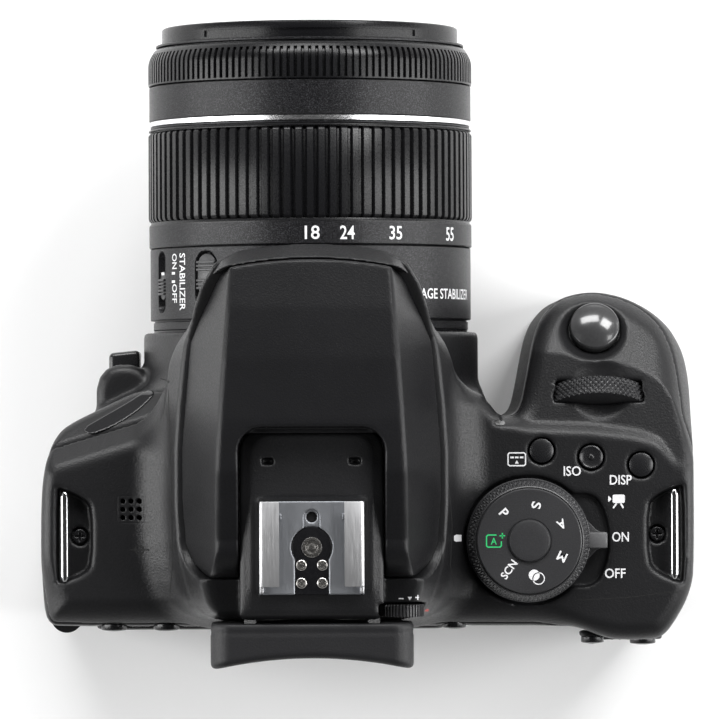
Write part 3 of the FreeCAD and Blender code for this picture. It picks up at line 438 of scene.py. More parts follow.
# ---- turned parts -------------------------------------------------------------------
def basis(axis):
    axis = Vector(axis).normalized()
    side = Vector((1, 0, 0)) if abs(axis.x) < 0.9 else Vector((0, 0, 1))
    u = (side - axis * side.dot(axis)).normalized()
    return np.array(u), np.array(axis.cross(u)), np.array(axis)


def turned(profile, centre, axis, n=128, wave=None, closed=True, caps=False):
    """Turns (along, radius, wave share) points about an axis; wave(angles, along) adds to the radius."""
    u, v, w = basis(axis)
    angles = np.linspace(0, 2 * math.pi, n, endpoint=False)
    rows = []
    for point in profile:
        share = point[2] if len(point) > 2 else 0.0
        radius = point[1] + (share * wave(angles, point[0]) if wave and share else 0 * angles)
        rows.append(np.array(centre) + point[0] * w + radius[:, None] *
                    (np.cos(angles)[:, None] * u + np.sin(angles)[:, None] * v))
    verts = np.concatenate(rows)
    m = len(profile)
    faces = []
    k = np.arange(n)
    for i in range(m if closed else m - 1):
        a, b = i * n, ((i + 1) % m) * n
        faces.append(np.stack([a + k, a + (k + 1) % n, b + (k + 1) % n, b + k], 1))
    faces = np.concatenate(faces).tolist()
    if caps:
        faces += [list(range(n))[::-1], list(range((m - 1) * n, m * n))]
    return verts, faces


def ribs(count, depth, land=0.58, soft=0.16):
    """Square-topped ribs round a ring: 0 on their tops, -depth in the grooves."""
    def wave(angles, along):
        t = np.abs((angles * count / (2 * math.pi)) % 1.0 - 0.5) * 2
        return -depth * ramp_up(t, land, min(land + soft, 1.0))
    return wave


def knurl(count, depth, twist):
    """Little pyramids where two sets of slanted grooves cross. twist is in teeth per mm."""
    def wave(angles, along):
        t = angles * count / (2 * math.pi)
        a = np.abs((t + along * twist) % 1.0 - 0.5) * 2
        b = np.abs((t - along * twist) % 1.0 - 0.5) * 2
        return -depth * np.maximum(a, b)
    return wave


def merge(*meshes):
    """Joins (verts, faces) pairs into one."""
    verts, faces, base = [], [], 0
    for v, f in meshes:
        verts.append(np.asarray(v))
        faces += [[i + base for i in face] for face in f]
        base += len(v)
    return np.concatenate(verts), faces


def bevelled(lo, hi, r=0.3, segments=2, axis=None):
    """A box with rounded edges, or only those along an axis."""
    bm = bmesh.new()
    bmesh.ops.create_cube(bm, size=1.0)
    lo, hi = np.array(lo, float), np.array(hi, float)
    for v in bm.verts:
        v.co = Vector((lo + hi) / 2 + np.array(v.co) * (hi - lo))
    edges = [e for e in bm.edges if axis is None or
             abs((e.verts[0].co - e.verts[1].co).normalized()["xyz".index(axis)]) > 0.9]
    bmesh.ops.bevel(bm, geom=edges, offset=r, segments=segments, profile=0.5, affect="EDGES")
    return drain(bm)


def drain(bm):
    bm.verts.index_update()
    verts = np.array([v.co[:] for v in bm.verts])
    faces = [[v.index for v in f.verts] for f in bm.faces]
    bm.free()
    return verts, faces


def prism(outline, z0, z1, bevel=0.25, segments=2):
    """An upright slab from a closed outline, its top and bottom edges rounded."""
    bm = bmesh.new()
    face = bm.faces.new([bm.verts.new((x, y, z0)) for x, y in outline])
    top = bmesh.ops.extrude_face_region(bm, geom=[face])
    bmesh.ops.translate(bm, vec=(0, 0, z1 - z0), verts=[g for g in top["geom"]
                                                        if isinstance(g, bmesh.types.BMVert)])
    bmesh.ops.recalc_face_normals(bm, faces=bm.faces)
    if bevel:
        edges = [e for e in bm.edges if abs(e.verts[0].co.z - e.verts[1].co.z) < 1e-6]
        bmesh.ops.bevel(bm, geom=edges, offset=bevel, segments=segments, profile=0.5,
                        affect="EDGES")
    return drain(bm)


def wrap_on_lens(verts, radius):
    """Bends flat points, whose z is a height over the barrel, round the lens."""
    v = np.array(verts, float)
    a = v[:, 0] / radius
    r = radius + v[:, 2]
    return np.stack([r * np.sin(a), v[:, 1], AXIS_Z + r * np.cos(a)], 1)


SLOPE = math.radians(22.0)


def grip_z(y):
    return SHOULDER_Z + np.minimum(y + 8.0, 0) * math.tan(SLOPE)


# ---- lettering ----------------------------------------------------------------------
def lettering(text, height, width, bold=0.0):
    """Flat letters centred on the origin, reading along -X with their tops towards -Y."""
    curve = bpy.data.curves.new("letters", "FONT")
    curve.body = text
    curve.offset = bold
    curve.resolution_u = 3
    obj = bpy.data.objects.new("letters", curve)
    mesh = bpy.data.meshes.new_from_object(obj)
    verts = np.array([v.co[:] for v in mesh.vertices]).reshape(-1, 3)
    faces = [list(f.vertices) for f in mesh.polygons]
    bpy.data.objects.remove(obj)
    bpy.data.curves.remove(curve)
    bpy.data.meshes.remove(mesh)
    lo, hi = verts.min(0), verts.max(0)
    verts = (verts - (lo + hi) / 2) * [-width / (hi[0] - lo[0]), -height / (hi[1] - lo[1]), 0]
    return verts, faces


def label(text, width, height=1.95):
    return lettering(text, height, width, BOLD)


def stroke(points, width, closed=False):
    """A flat line of a given width through points, its corners mitred."""
    pts = [np.array(p, float) for p in points]
    count = len(pts)
    verts = []
    for i, p in enumerate(pts):
        back = p - pts[i - 1] if i or closed else pts[1] - p
        ahead = pts[(i + 1) % count] - p if i < count - 1 or closed else back
        back, ahead = back / np.linalg.norm(back), ahead / np.linalg.norm(ahead)
        normal = np.array([-(back + ahead)[1], (back + ahead)[0]])
        normal /= np.linalg.norm(normal)
        reach = width / 2 / max(normal @ np.array([-ahead[1], ahead[0]]), 0.4)
        verts += [(*(p + normal * reach), 0), (*(p - normal * reach), 0)]
    faces = [[2 * i, 2 * i + 1, 2 * ((i + 1) % count) + 1, 2 * ((i + 1) % count)]
             for i in range(count if closed else count - 1)]
    return np.array(verts), faces


def patch(points):
    """A flat filled outline."""
    return np.array([(x, y, 0.0) for x, y in points]), [list(range(len(points)))]


def circle_points(x, y, r, n=24, start=0.0, stop=360.0):
    return [(x + r * math.cos(a), y + r * math.sin(a))
            for a in np.radians(np.linspace(start, stop, n, endpoint=stop - start < 360))]


def turn_flat(verts, degrees):
    a = math.radians(degrees)
    v = np.array(verts, float)
    x, y = v[:, 0].copy(), v[:, 1].copy()
    v[:, 0] = x * math.cos(a) - y * math.sin(a)
    v[:, 1] = x * math.sin(a) + y * math.cos(a)
    return v


def face_up(verts, faces):
    """Turns flat faces so that they look up."""
    out = []
    for f in faces:
        p = verts[f]
        area = np.sum(p[:, 0] * np.roll(p[:, 1], -1) - p[:, 1] * np.roll(p[:, 0], -1))
        out.append(list(f) if area > 0 else list(f)[::-1])
    return out


def refine(verts, faces, size):
    """Splits the long edges of flat artwork, so that it can lie on a curved surface."""
    bm = bmesh.new()
    points = [bm.verts.new(v) for v in verts]
    for f in faces:
        bm.faces.new([points[i] for i in f])
    bmesh.ops.triangulate(bm, faces=bm.faces)
    for _ in range(5):
        long = [e for e in bm.edges if e.calc_length() > size]
        if not long:
            break
        bmesh.ops.subdivide_edges(bm, edges=long, cuts=1)
        bmesh.ops.triangulate(bm, faces=[f for f in bm.faces if len(f.verts) > 3])
    return drain(bm)


def drape(form, verts, lift):
    """Lowers flat points onto the top of a Form, passing over the wells of the controls."""
    v = np.array(verts, float)
    for point in v:
        i, j = [(point[k] - form.axes[k][0]) / form.step for k in (0, 1)]
        a, b = int(i), int(j)
        s, t = i - a, j - b
        total = weight = 0.0
        for ii, jj, share in ((a, b, (1 - s) * (1 - t)), (a + 1, b, s * (1 - t)),
                              (a, b + 1, (1 - s) * t), (a + 1, b + 1, s * t)):
            column = form.f[ii, jj]
            k = np.nonzero(column < 0)[0][-1] if (column < 0).any() else 0
            height = form.axes[2][k] + form.step * column[k] / (column[k] - column[k + 1])
            if height > WELL_Z:
                total, weight = total + share * height, weight + share
        point[2] = (total / weight if weight else DECK_EDGE_Z) + lift
    return v


def print_on(form, name, art, x, y, mat="white", turn=0.0, lift=PRINT):
    """Lays flat artwork on the top cover at a point of its plan."""
    verts, faces = refine(*art, 0.5)
    verts = turn_flat(verts, turn) + (x, y, 0)
    add_to("top_cover", name, drape(form, verts, lift), face_up(verts, faces), mat, smooth=False)


# ---- the moulded casing -------------------------------------------------------------
OUTLINE = [(50.8, 33.5), (52.9, 32.6), (53.8, 30.2), (54.1, 24), (54.3, 19), (54.2, 8), (53.7, 2.5),
           (52.8, -1.2), (51.5, -4.6), (49.2, -7.1), (42.0, -10.6), (35.6, -13.7), (33, -14),
           (-33, -14), (-36, -10.8), (-37.4, -8.8), (-40.2, -8.5), (-42.2, -10.2), (-43.6, -17),
           (-44.9, -24.2), (-46.5, -28.4), (-49.8, -32), (-53.2, -33.2), (-57, -33.7),
           (-60.5, -33.3), (-64, -32.3), (-68, -30.3), (-70.6, -28.3), (-72.6, -26.3), (-74.1, -24),
           (-75.4, -21.4), (-76.3, -17.6), (-76.7, -11), (-76.7, 22), (-76.2, 25.6), (-75, 29),
           (-72.8, 32.8), (-71, 35.2), (-69, 36.4), (-61, 36.5), (-57.6, 35.6), (-54, 34),
           (-50.5, 33.5)]
OUTLINE = soften(OUTLINE, 2)


def even_curve(xs, ys, width):
    """A line through points with its corners rounded off over a width."""
    fine = np.arange(min(xs) - 20, max(xs) + 20, 0.1)
    order = np.argsort(xs)
    line = np.interp(fine, np.array(xs, float)[order], np.array(ys, float)[order])
    size = max(int(width / 0.1), 1)
    kernel = np.hanning(size + 2)[1:-1]
    padded = np.pad(line, size, mode="edge")
    line = np.convolve(padded, kernel / kernel.sum(), "same")[size:-size]
    return lambda x: np.interp(x, fine, line)


def deck_height(x, y):
    """Top of the shoulders, with the stepped slope down to the shutter button."""
    ridge = even_curve([-77, -73.3, -70.1, -64.9, -57.7, -47.4, -42],
                       [2, -10.6, -15.6, -18.4, -20.2, -21.4, -21.8], 4.0)(x)
    foot = even_curve([-77, -73, -71.1, -69.5, -64.9, -55.9, -43.8, -40],
                      [2.0, 0.4, -2.8, -4.6, -6.0, -7.2, -7.6, -8.6], 5.0)(x)
    shelf = np.minimum(72.4 + (y + 6.2) * 0.170, SHOULDER_Z)
    nose = np.maximum(ridge - y, 0)
    shelf = shelf - nose * np.interp(x, [-76, -66, -60], [0.45, 0.37, 0.37])
    back = np.clip((y - foot + 0.4) / 3.4, 0, 1)
    height = shelf + (SHOULDER_Z - shelf) * back * back * (3 - 2 * back)
    return np.where(x < -38.0, height, SHOULDER_Z)


def hump_base(x, y, z):
    """The fixed part of the hump, up to the seam of the flash head."""
    half = even_curve([-42.6, -41.2, -39.6, -34.8, -30.3, -27, -23.3, -10.8, -1.7, 9, 16.5, 20.6, 24.5,
                       28, 30.5, 33], [13.0, 16.4, 18.7, 21.6, 23.1, 23.9, 25.0, 26.3, 26.9, 26.9, 26.4,
                                       25.8, 24.8, 23.4, 21.4, 18.0], 2.5)(y)
    flare = np.clip(82.6 - z, 0, 7) * 0.42 * ramp_up(y, -30, -18)
    side = (np.abs(x) - half - flare) * 0.93
    top = z - np.interp(y, [-41, -38.2, -24], [91.0, 91.0, 82.3])
    bow = 2.9 * (x / 21.0) ** 2
    front = meet((-42.3 + bow - y), (-37.0 + bow - (z - 77.0) * 0.353 - y) * 0.94, 0.6)
    form = meet(meet(side, top, 0.7), front, 0.8)
    form = meet(form, y - HUMP_BACK, 2.2)
    return meet(form, np.minimum(76.6 - z, -25.9 - y), 0.5)


def casing(p):
    """Distance to the closed outside of the whole body, without the flash head."""
    x, y, z = p
    flat = in_plan(OUTLINE, p)
    r = (2.6 + 3.8 * ramp_up(y, 18, 30) * ramp_up(x, -56, -44)
         + 1.8 * ramp_up(-x, 40, 46) * ramp_up(-y, 2, 10)
         + 1.2 * ramp_up(-x, 52, 60) * ramp_up(y, 16, 28))
    body = meet(flat, (z - deck_height(x, y)) * 0.96, r)
    q = (x - 50.6) * 0.286 - (y - 1.5) * 0.958
    facet = (z - SHOULDER_Z + 0.86 * q) * 0.76
    body = meet(body, np.where(x > 0, facet, -60.0), 0.9)
    body = meet(body, -z, 1.6)
    body = join(body, drum_y(p, 0, AXIS_Z, -25.9, 0, 34.3, 0.9), 4.0)
    foot = meet(brick(p, (-30, -22, 0), (30, 0, AXIS_Z), 3.0), -z, 1.4)
    body = join(body, foot, 1.5)
    housing = in_plan(soften([(32.5, -19.4), (43.8, -19.4), (43.8, -6), (32.5, -6)], 2), p)
    housing = meet(housing, np.abs(z - 38.5) - 13.5, 2.0)
    body = join(body, housing, 1.5)
    return meet(body, -z, 0.5)


def hump(p):
    """Distance to the outside of the hump with the flash head down."""
    x, y, z = p
    top = even_curve([-42, -39.4, -30, -20, -8, 2, 10, 15.5, 30], [97.6, 98.4, 100.5, 101.9, 102.6, 102.0,
                                                                  99.8, 97.8, 97.8], 3.0)(y)
    high = even_curve([-42, -38, -26, -13, 0, 30], [14.8, 15.9, 16.6, 17.6, 18.4, 18.6], 3.0)(y)
    low = even_curve([-42.3, -39.6, -34.8, -27.8, -22.5, -10.8, -1.7, 7.4, 16.5, 20.6, 22.9, 24.0],
                     [15.0, 17.2, 20.8, 23.2, 24.2, 25.2, 25.9, 25.9, 25.2, 24.0, 22.0, 19.5], 2.0)(y)
    share = (top - z) / (top - 82.4)
    side = (np.abs(x) - (high + (low - high) * share)) * 0.92
    lid = (z - top + 0.3 * (x / 17.0) ** 2) * 0.98
    return meet(side, lid, 0.8)


def lift_outline():
    """The flash head's edge in side view: seam, round end about its pivot, and over the top."""
    y, z = PIVOT
    end = [(y + 7.8 * math.sin(a), z - 7.8 * math.cos(a)) for a in np.linspace(0, math.pi, 25)]
    return [(-60, 91.2), (-38.2, 91.2), (-24, 82.4)] + end + [(y, 130), (-60, 130)]


def brow_plane(x, y, z):
    """Negative behind the line where the flash head meets the brow in front of it."""
    return (-39.7 + 2.7 * (x / 21.0) ** 2 - (z - 98.4) * 0.12) - y


def rim(p, half_x, front_y, corner):
    """Distance in plan to the plateau between the arms of the flash head."""
    x, y = p[0][:, :, 0], p[1][:, :, 0]
    return brick((x, y, 0 * x), (-half_x, front_y, -9), (half_x, 60, 9), corner)[:, :, None]


def plateau_form(p):
    """The raised part that carries the shoe, between the arms of the flash head."""
    y, z = p[1:]
    wide = rim(p, 14.15, -6.35, 4.6)
    step = rim(p, 11.8, -4.6, 3.6)
    top = z - (PLATEAU_Z - 0.55 * np.clip(step / 1.1, 0, 1) - 0.35 * np.clip(step - 1.1, 0, 9))
    arc = np.hypot(y - PIVOT[0], z - PIVOT[1]) - 21.75
    form = meet(wide, top * 0.9, 0.5)
    form = np.where(y < -2, np.maximum(form, np.where(z > 88, arc, -9)), form)
    back = even_curve([24, 30, 31.6, 34], [97.4, 96.4, 95.4, 92.0], 2.0)(y)
    return meet(meet(form, z - back, 0.6), y - 31.5 + np.maximum(z - 90, 0) * 0.06, 1.2)


def rear_hump(p):
    """The low part of the hump behind the arms of the flash head."""
    x, y, z = p
    half = even_curve([10, 20, 24.5, 28, 30.5, 33], [26.6, 25.8, 24.8, 23.4, 21.4, 18.0], 2.0)(y)
    side = (np.abs(x) - half - np.maximum(82.6 - z, 0) * 0.42 + np.maximum(z - 82.6, 0) * 0.42) * 0.92
    top = z - np.interp(y, [15, 23.6, 30, 34], [90.3, 90.3, 88.6, 86.8])
    form = meet(meet(side, top, 1.2), y - HUMP_BACK, 2.2)
    return meet(form, PIVOT[0] - y, 0.3)


def split(form, p, low=False):
    """Keeps the casing above the seam of the top cover, or below it."""
    x, y, z = p
    seam = np.where((x < -39.0) & (y < -2), np.minimum(LID_Z, grip_z(y) - 4.0), LID_Z) + 0 * z
    return meet(form, (z - seam if low else seam - z) + SEAM, 0.28)


def radial(p, centre, axis):
    """Distance along an axis and from it."""
    d = [c - v for c, v in zip(p, centre)]
    along = sum(a * c for a, c in zip(axis, d))
    across = np.sqrt(np.maximum(sum(c * c for c in d) - along * along, 0))
    return along, across


UP_SLOPE = (0.0, -math.sin(SLOPE), math.cos(SLOPE))
SHUTTER = (-57.2, -26.6)
MAIN_DIAL = (-57.7, -13.8)
DIAL = (-43.3, 16.3)
TOP_BUTTONS = {"af_area_button": (-46.1, -1.6), "iso_button": (-56.0, -0.3),
               "disp_button": (-66.0, 1.3)}
REAR_DIAL = (-44.0, 0.0, 34.0)
POCKET_Z = 70.9       # floor of the strap pockets
STRAP_SCREWS = ((46.5, 15.2), (-69.3, 15.2))
SPEAKER = (36.1, 9.8)
STATUS_LAMP = (-37.8, -7.2)


def trapezoid(side):
    """Plan of a strap pocket: square to the side wall, its inner corners cut off."""
    if side > 0:
        return [(51.0, 5.6), (51.0, 24.2), (50.2, 24.4), (45.4, 22.6), (44.0, 20.4), (44.0, 9.6),
                (45.4, 7.6), (50.2, 5.5)]
    return [(-74.6, 5.4), (-74.6, 24.9), (-73.4, 24.7), (-69.0, 22.8), (-67.3, 20.4),
            (-67.3, 9.4), (-69.0, 7.4), (-73.4, 5.5)]


def make_top_cover():
    form = Form((-76.9, -42.6, 59.2), (54.5, 36.6, 97.6), 0.45)
    p = form.p
    x, y, z = p
    form.f = join(casing(p), hump_base(x, y, z), 6.0)
    form.add((-32, 10, 60), (32, 32, 91), rear_hump, 0.6)
    form.cut((-31, -60, 82), (31, 24, 99),
             lambda p: outline_distance(lift_outline(), p[1][0], p[2][0])[None] + 0 * p[0], 0.0)
    form.add((-14.5, -7, 80), (14.5, 32, 98), plateau_form, 0.05)
    form.f = split(form.f, p)
    form.bore_y(0, AXIS_Z, -70, -26.1, 34.9, 0.3)
    carve_controls(form)
    carve_hump(form)
    return form


def carve_controls(form):
    """Wells for the buttons, dials, lever, strap bars, screws, speaker and lamp."""
    form.cut((-65, -35, 58), (-49, -18, 74), shutter_dish, 0.25)
    form.cut((-64, -22, 60), (-51, -5, 86), dial_scoop, 0.2)
    form.cut((-67, -19, 52), (-48, -8, 80), dial_slot, 0.12)
    for at in TOP_BUTTONS.values():
        form.bore(*at, 68.0, 90, 2.72, 0.18)
    dx, dy = DIAL
    form.bore(dx, dy, 72.8, 90, 13.0, 0.25, 0.2)
    form.cut((dx - 17, dy - 10, 72), (dx, dy + 10, 80), lever_fan, 0.3)
    form.bore(dx, dy, 67.5, 90, 5.0)
    for side in (1, -1):
        pts = soften(trapezoid(side), 1)
        form.cut((*pts.min(0), POCKET_Z), (*pts.max(0), 76), lambda p: meet(
            in_plan(pts, p) - 0.5 * np.clip(p[2] - 73.2, 0, 1), POCKET_Z - p[2], 0.5), 0.45)
    for at in STRAP_SCREWS:
        form.bore(*at, 69.9, 80, 1.75, 0.1, 0.1)
    x, y = SPEAKER
    form.slot((x - 2.1, y - 2.1, 71.8), (x + 2.1, y + 2.1, 90), 0.05)
    x, y = STATUS_LAMP
    form.slot((x - 1.3, y - 0.55, 73.2), (x + 1.3, y + 0.55, 90), 0.1, 0.5)


def shutter_dish(p):
    """A well for the shutter button with a flared mouth."""
    centre = (SHUTTER[0], SHUTTER[1], grip_z(SHUTTER[1]))
    along, across = radial(p, centre, UP_SLOPE)
    well = meet(across - 5.3, -5.4 - along, 0.1)
    mouth = meet((across - 7.0 - along * 1.15) * 0.66, -1.3 - along, 0.2)
    return np.minimum(well, mouth)


def dial_scoop(p):
    """The round hollow about the main dial."""
    centre = (MAIN_DIAL[0] - 0.3, MAIN_DIAL[1] + 0.9, grip_z(MAIN_DIAL[1]) - 0.55)
    c = [a + b * 11.6 for a, b in zip(centre, (0, -math.sin(0.24), math.cos(0.24)))]
    return np.sqrt(sum((q - v) ** 2 for q, v in zip(p, c))) - 12.9


def dial_slot(p):
    """The slot that the main dial's wheel stands in."""
    centre = (MAIN_DIAL[0], MAIN_DIAL[1], grip_z(MAIN_DIAL[1]))
    along, _ = radial(p, centre, UP_SLOPE)
    back = (p[1] - centre[1]) * math.cos(SLOPE) + (p[2] - centre[2]) * math.sin(SLOPE)
    wide = p[0] - centre[0]
    slot = np.maximum(np.abs(wide) - 8.5, np.abs(back) - 2.2)
    slot = np.maximum(slot, -6.0 - along)
    drum_part = np.maximum(np.hypot(wide, along + 7.3) - 10.9, np.abs(back) - 2.2)
    return np.minimum(slot, drum_part)


def lever_fan(p):
    """The sunk fan in which the power lever swings."""
    dx, dy = DIAL
    fan = meet(np.hypot(p[0] - dx, p[1] - dy) - 16.25, np.abs(p[1] - dy) - 9.3, 1.8)
    return meet(meet(fan, p[0] - dx + 4, 0.1), 72.8 - p[2], 0.2)


def carve_hump(form):
    """Slots and floor for the shoe, and the bores for the dioptre knob and the eyepiece."""
    for s in (-1, 1):
        form.slot((s * 8.6 - 1.2, -0.57, 95.6), (s * 8.6 + 1.2, 0.77, 99), 0.08, 0.5)
    form.slot((-10.75, 7.2, 96.85), (10.75, 26.8, 99), 0.08, 0.2)
    form.bore_y(-17.8, 85.6, 28.2, 40, 4.85, 0.15)
    form.slot((-21.3, 28.2, 85), (-13.0, 40, 99), 0.12, 0.2)
    form.bore_y(0, 85, 20.0, 40, 7.9, 0.3)


def make_flash_head():
    form = Form((-27, -42.6, 82), (27, 23.6, 102.8), 0.4)
    p = form.p
    x, y, z = p
    lift = outline_distance(lift_outline(), y[0], z[0])[None] + 0.22
    body = meet(hump(p), lift, 0.25)
    body = meet(body, brow_plane(x, y, z) + 0.12, 0.45)
    form.f = meet(body, -rim(p, 14.4, -6.6, 4.7), 0.3)
    form.add((-14.2, -6.9, 97.2), (14.2, -5.3, 97.9),
             lambda p: brick(p, (-14.2, -7.4, 97.35), (14.2, -5.35, 98.0), 0.15), 0.2)
    form.cut((-24, 9, 84), (24, 22, 96), lambda p: np.maximum(
        np.hypot(p[1] - PIVOT[0], p[2] - PIVOT[1]) - 1.3, np.abs(p[0]) - 19.9))
    form.cut((-14, -38, 81), (14, -24, 94), lamp_window, 0.1)
    return form


def lamp_window(p):
    """The flat box let into the sloping underside for the lamp's window, with its clearance."""
    ahead, rise, gap = 11.0, 6.9, 0.25
    run = math.hypot(ahead, rise)
    y, z = p[1] + 25.4, p[2] - 83.1
    along = (z * rise - y * ahead) / run
    deep = (y * rise + z * ahead) / run
    return np.maximum(np.maximum(np.abs(p[0]) - 13.0 - gap, np.abs(along - run / 2) - run / 2 - gap),
                      np.maximum(deep - 1.6 - gap, -1.5 - deep))


def make_brow():
    """The strip of the top cover in front of the flash head."""
    form = Form((-24, -42.6, 90.4), (24, -36, 99), 0.3)
    p = form.p
    x, y, z = p
    face = (-42.3 + 2.9 * (x / 21.0) ** 2 + (z - 92.0) * 0.40) - y
    edge = z - 97.95 + 0.3 * (x / 17.0) ** 2
    half = even_curve([-43, -41, -39.6, -34.8, -30.3], [15.0, 16.8, 18.8, 21.9, 23.8], 2.0)(y)
    share = (z - 83) / 15.0
    side = (np.abs(x) - half + share * 2.3) * 0.95
    body = meet(meet(face * 0.93, side, 1.2), edge, 0.3)
    body = meet(body, -brow_plane(x, y, z) + 0.12, 0.2)
    form.f = meet(body, 90.9 - z, 0.1)
    return form


top = make_top_cover()
stand_for("top_cover_shell", "top_cover", *top.mesh(), "body")


def make_speaker_plate():
    """The patch of the deck with the nine holes of the speaker, on a finer grid."""
    cx, cy = SPEAKER
    form = Form((cx - 3.4, cy - 3.4, 72.4), (cx + 3.4, cy + 3.4, 75.4), 0.14)
    p = form.p
    patch_zone = brick(p, (cx - 3.1, cy - 3.1, 72.6), (cx + 3.1, cy + 3.1, 90), 0.3)
    edge = np.clip((np.maximum(np.abs(p[0] - cx), np.abs(p[1] - cy)) - 2.5) / 0.6, 0, 1)
    form.f = meet(join(casing(p), hump_base(*p), 6.0) - 0.03 + 0.1 * edge, patch_zone, 0.02)
    for i in (-1.65, 0, 1.65):
        for j in (-1.65, 0, 1.65):
            form.bore(cx + i, cy + j, 70, 90, 0.5, 0.12)
    return form.mesh()


add_to("top_cover", "speaker_plate", *make_speaker_plate(), "body")
stand_for("flash_head_shell", "flash_head", *make_flash_head().mesh(), "hump")
add_to("top_cover", "top_cover_brow", *make_brow().mesh(), "body")


# ---- lens ---------------------------------------------------------------------------
LENS = (0.0, 0.0, AXIS_Z)
LENS_TOP = 1.5 * math.pi      # where the top of the lens is, in the angles of turned()
SLEEVE_R = 32.9
SCALE_R = 33.12


def hood_slot(angles, along):
    """The shallow groove for a lens hood round the top of the front barrel."""
    return np.where(np.abs(angles - LENS_TOP) < math.radians(44.5), -0.4, 0.0)


def lens_ring(name, node_name, profile, mat, n=192, wave=None):
    return stand_for(name, node_name, *turned(profile, LENS, BACKWARD, n, wave), mat, sharp=34)


thread = [(-85.3 - 0.35 * i - 0.17 * (i % 2), 28.75 + 0.3 * (i % 2)) for i in range(8)]
lens_ring("front_barrel", "inner_barrel",
          [(-88.3, 29.5), (-88.3, 30.05), (-88.15, 30.3), (-87.95, 30.4), (-86.72, 30.4),
           (-86.70, 30.4, 1), (-85.42, 30.4, 1), (-85.40, 30.4), (-84.95, 30.4), (-84.8, 30.25),
           (-52.0, 30.2), (-52.0, 28.6), (-74.5, 28.6), (-74.6, 22.3), (-79.9, 21.45),
           (-80.9, 22.1), (-81.5, 22.3), (-81.6, 23.6), (-82.8, 24.2), (-82.9, 25.6), (-84.0, 26.1),
           (-84.1, 27.4), (-85.0, 27.8), (-85.1, 28.75)] + thread + [(-88.15, 29.3)],
          "lens", 720, hood_slot)
lens_ring("focus_grip", "focus_ring",
          [(-84.0, 31.0), (-84.0, 31.6), (-83.7, 32.0), (-83.3, 32.25), (-82.95, 32.45),
           (-82.9, 32.48, 1), (-82.4, 32.75, 1), (-81.8, 33.02, 1), (-81.2, 33.18, 1),
           (-80.5, 33.25, 1), (-76.82, 33.25, 1), (-76.78, 33.25), (-76.5, 33.2), (-76.4, 33.0),
           (-76.4, 31.0)], "ribs", 1152, ribs(144, 0.75, 0.50, 0.24))
lens_ring("zoom_grip", "zoom_ring",
          [(-67.5, 31.6), (-67.5, 32.9), (-67.35, 33.1), (-67.1, 33.15), (-67.06, 32.3), (-66.9, 32.3),
           (-66.85, 32.6, 1), (-66.6, 33.0, 1), (-66.2, 33.25, 1), (-49.3, 33.25, 1),
           (-48.8, 33.1, 1), (-48.5, 32.75, 1), (-48.45, 32.7), (-48.3, 32.75), (-47.95, 32.8),
           (-47.9, 33.05), (-47.8, 33.05), (-43.3, 33.05), (-43.15, 32.9), (-43.1, 31.6)],
          "ribs", 1080, ribs(90, 0.85, 0.56, 0.20))
lens_ring("zoom_scale_band", "silver_ring",
          [(-69.15, 31.6), (-69.15, 32.8), (-69.05, 32.95), (-68.15, 32.95), (-68.05, 32.8),
           (-68.05, 31.6)], "silver", 256)
scale = turned([(-47.75, 32.6), (-47.75, 32.95), (-47.65, 33.12), (-43.4, 33.12), (-43.25, 33.0),
                (-43.25, 32.6)], LENS, BACKWARD, 256)
piece("zoom_scale", *scale, "band", "zoom_ring", SLOT_OF["lens_barrel"], sharp=34)
lens_ring("bayonet_flange", "lens_mount_ring",
          [(-26.25, 30.0), (-26.25, 32.2), (-24.4, 32.2), (-24.4, 30.0)], "lens", 128)

# arc position, half width, front and back of the slots of the focus and stabilizer switches
SLOTS = ((40.0, 2.85, -42.1, -30.6), (67.0, 1.85, -42.2, -29.9))


def fixed_barrel():
    """The plain bands and rear sleeve of the lens, with the two switch slots sunk in it."""
    rows = [(-84.9, 30.8), (-84.9, 31.4), (-84.75, 31.65), (-84.4, 31.65), (-84.25, 31.45),
            (-84.2, 30.8), (-76.25, 30.8), (-76.25, 32.85), (-76.1, 33.05), (-69.35, 33.05),
            (-69.2, 32.9), (-69.2, 31.5), (-67.95, 31.5), (-67.95, 32.75), (-67.65, 32.75),
            (-67.65, 31.4), (-43.0, 31.4), (-43.0, 32.7), (-42.85, 32.9)]
    rows += [(y, 32.9, 1) for y in np.arange(-42.7, -28.75, 0.28)]
    rows += [(-28.55, 32.9), (-28.35, 32.75), (-28.3, 32.1), (-28.0, 32.0), (-27.9, 32.3),
             (-26.45, 32.3), (-26.3, 32.15), (-26.3, 30.0), (-21.5, 30.0), (-21.5, 28.0)]

    def sunk(angles, along):
        depth = np.zeros_like(angles)
        for place, half, y0, y1 in SLOTS:
            across = SLEEVE_R * (LENS_TOP + math.radians(place) - angles)
            middle, reach = (y0 + y1) / 2, (y1 - y0) / 2 - half
            edge = np.hypot(across, max(abs(along - middle) - reach, 0)) - half
            depth -= 1.25 * ramp_up(-edge, -0.12, 0.3)
        return depth
    return turned(rows, LENS, BACKWARD, 900, sunk)


stand_for("fixed_barrel", "lens_barrel", *fixed_barrel(), "band", sharp=34)


def capsule(half, length, n=10):
    """Plan of a bar with round ends, along Y."""
    r = length / 2 - half
    ends = [(half * math.cos(a), -r + half * math.sin(a)) for a in np.linspace(-math.pi, 0, n)]
    return ends + [(-x, -y) for x, y in ends]


def switch_knob(place, half, y0, y1, ridges_at):
    """A sliding knob, bent to the barrel, with finger ridges across it."""
    ridges = [bevelled((-half * 0.96, g - 0.24, -0.4), (half * 0.96, g + 0.24, 0.3), 0.12)
              for g in ridges_at]
    verts, faces = merge(prism(capsule(half, y1 - y0), -1.1, -0.25, 0.15), *ridges)
    verts[:, 1] += (y0 + y1) / 2
    verts[:, 0] += SLEEVE_R * math.radians(place)
    return wrap_on_lens(verts, SLEEVE_R), faces


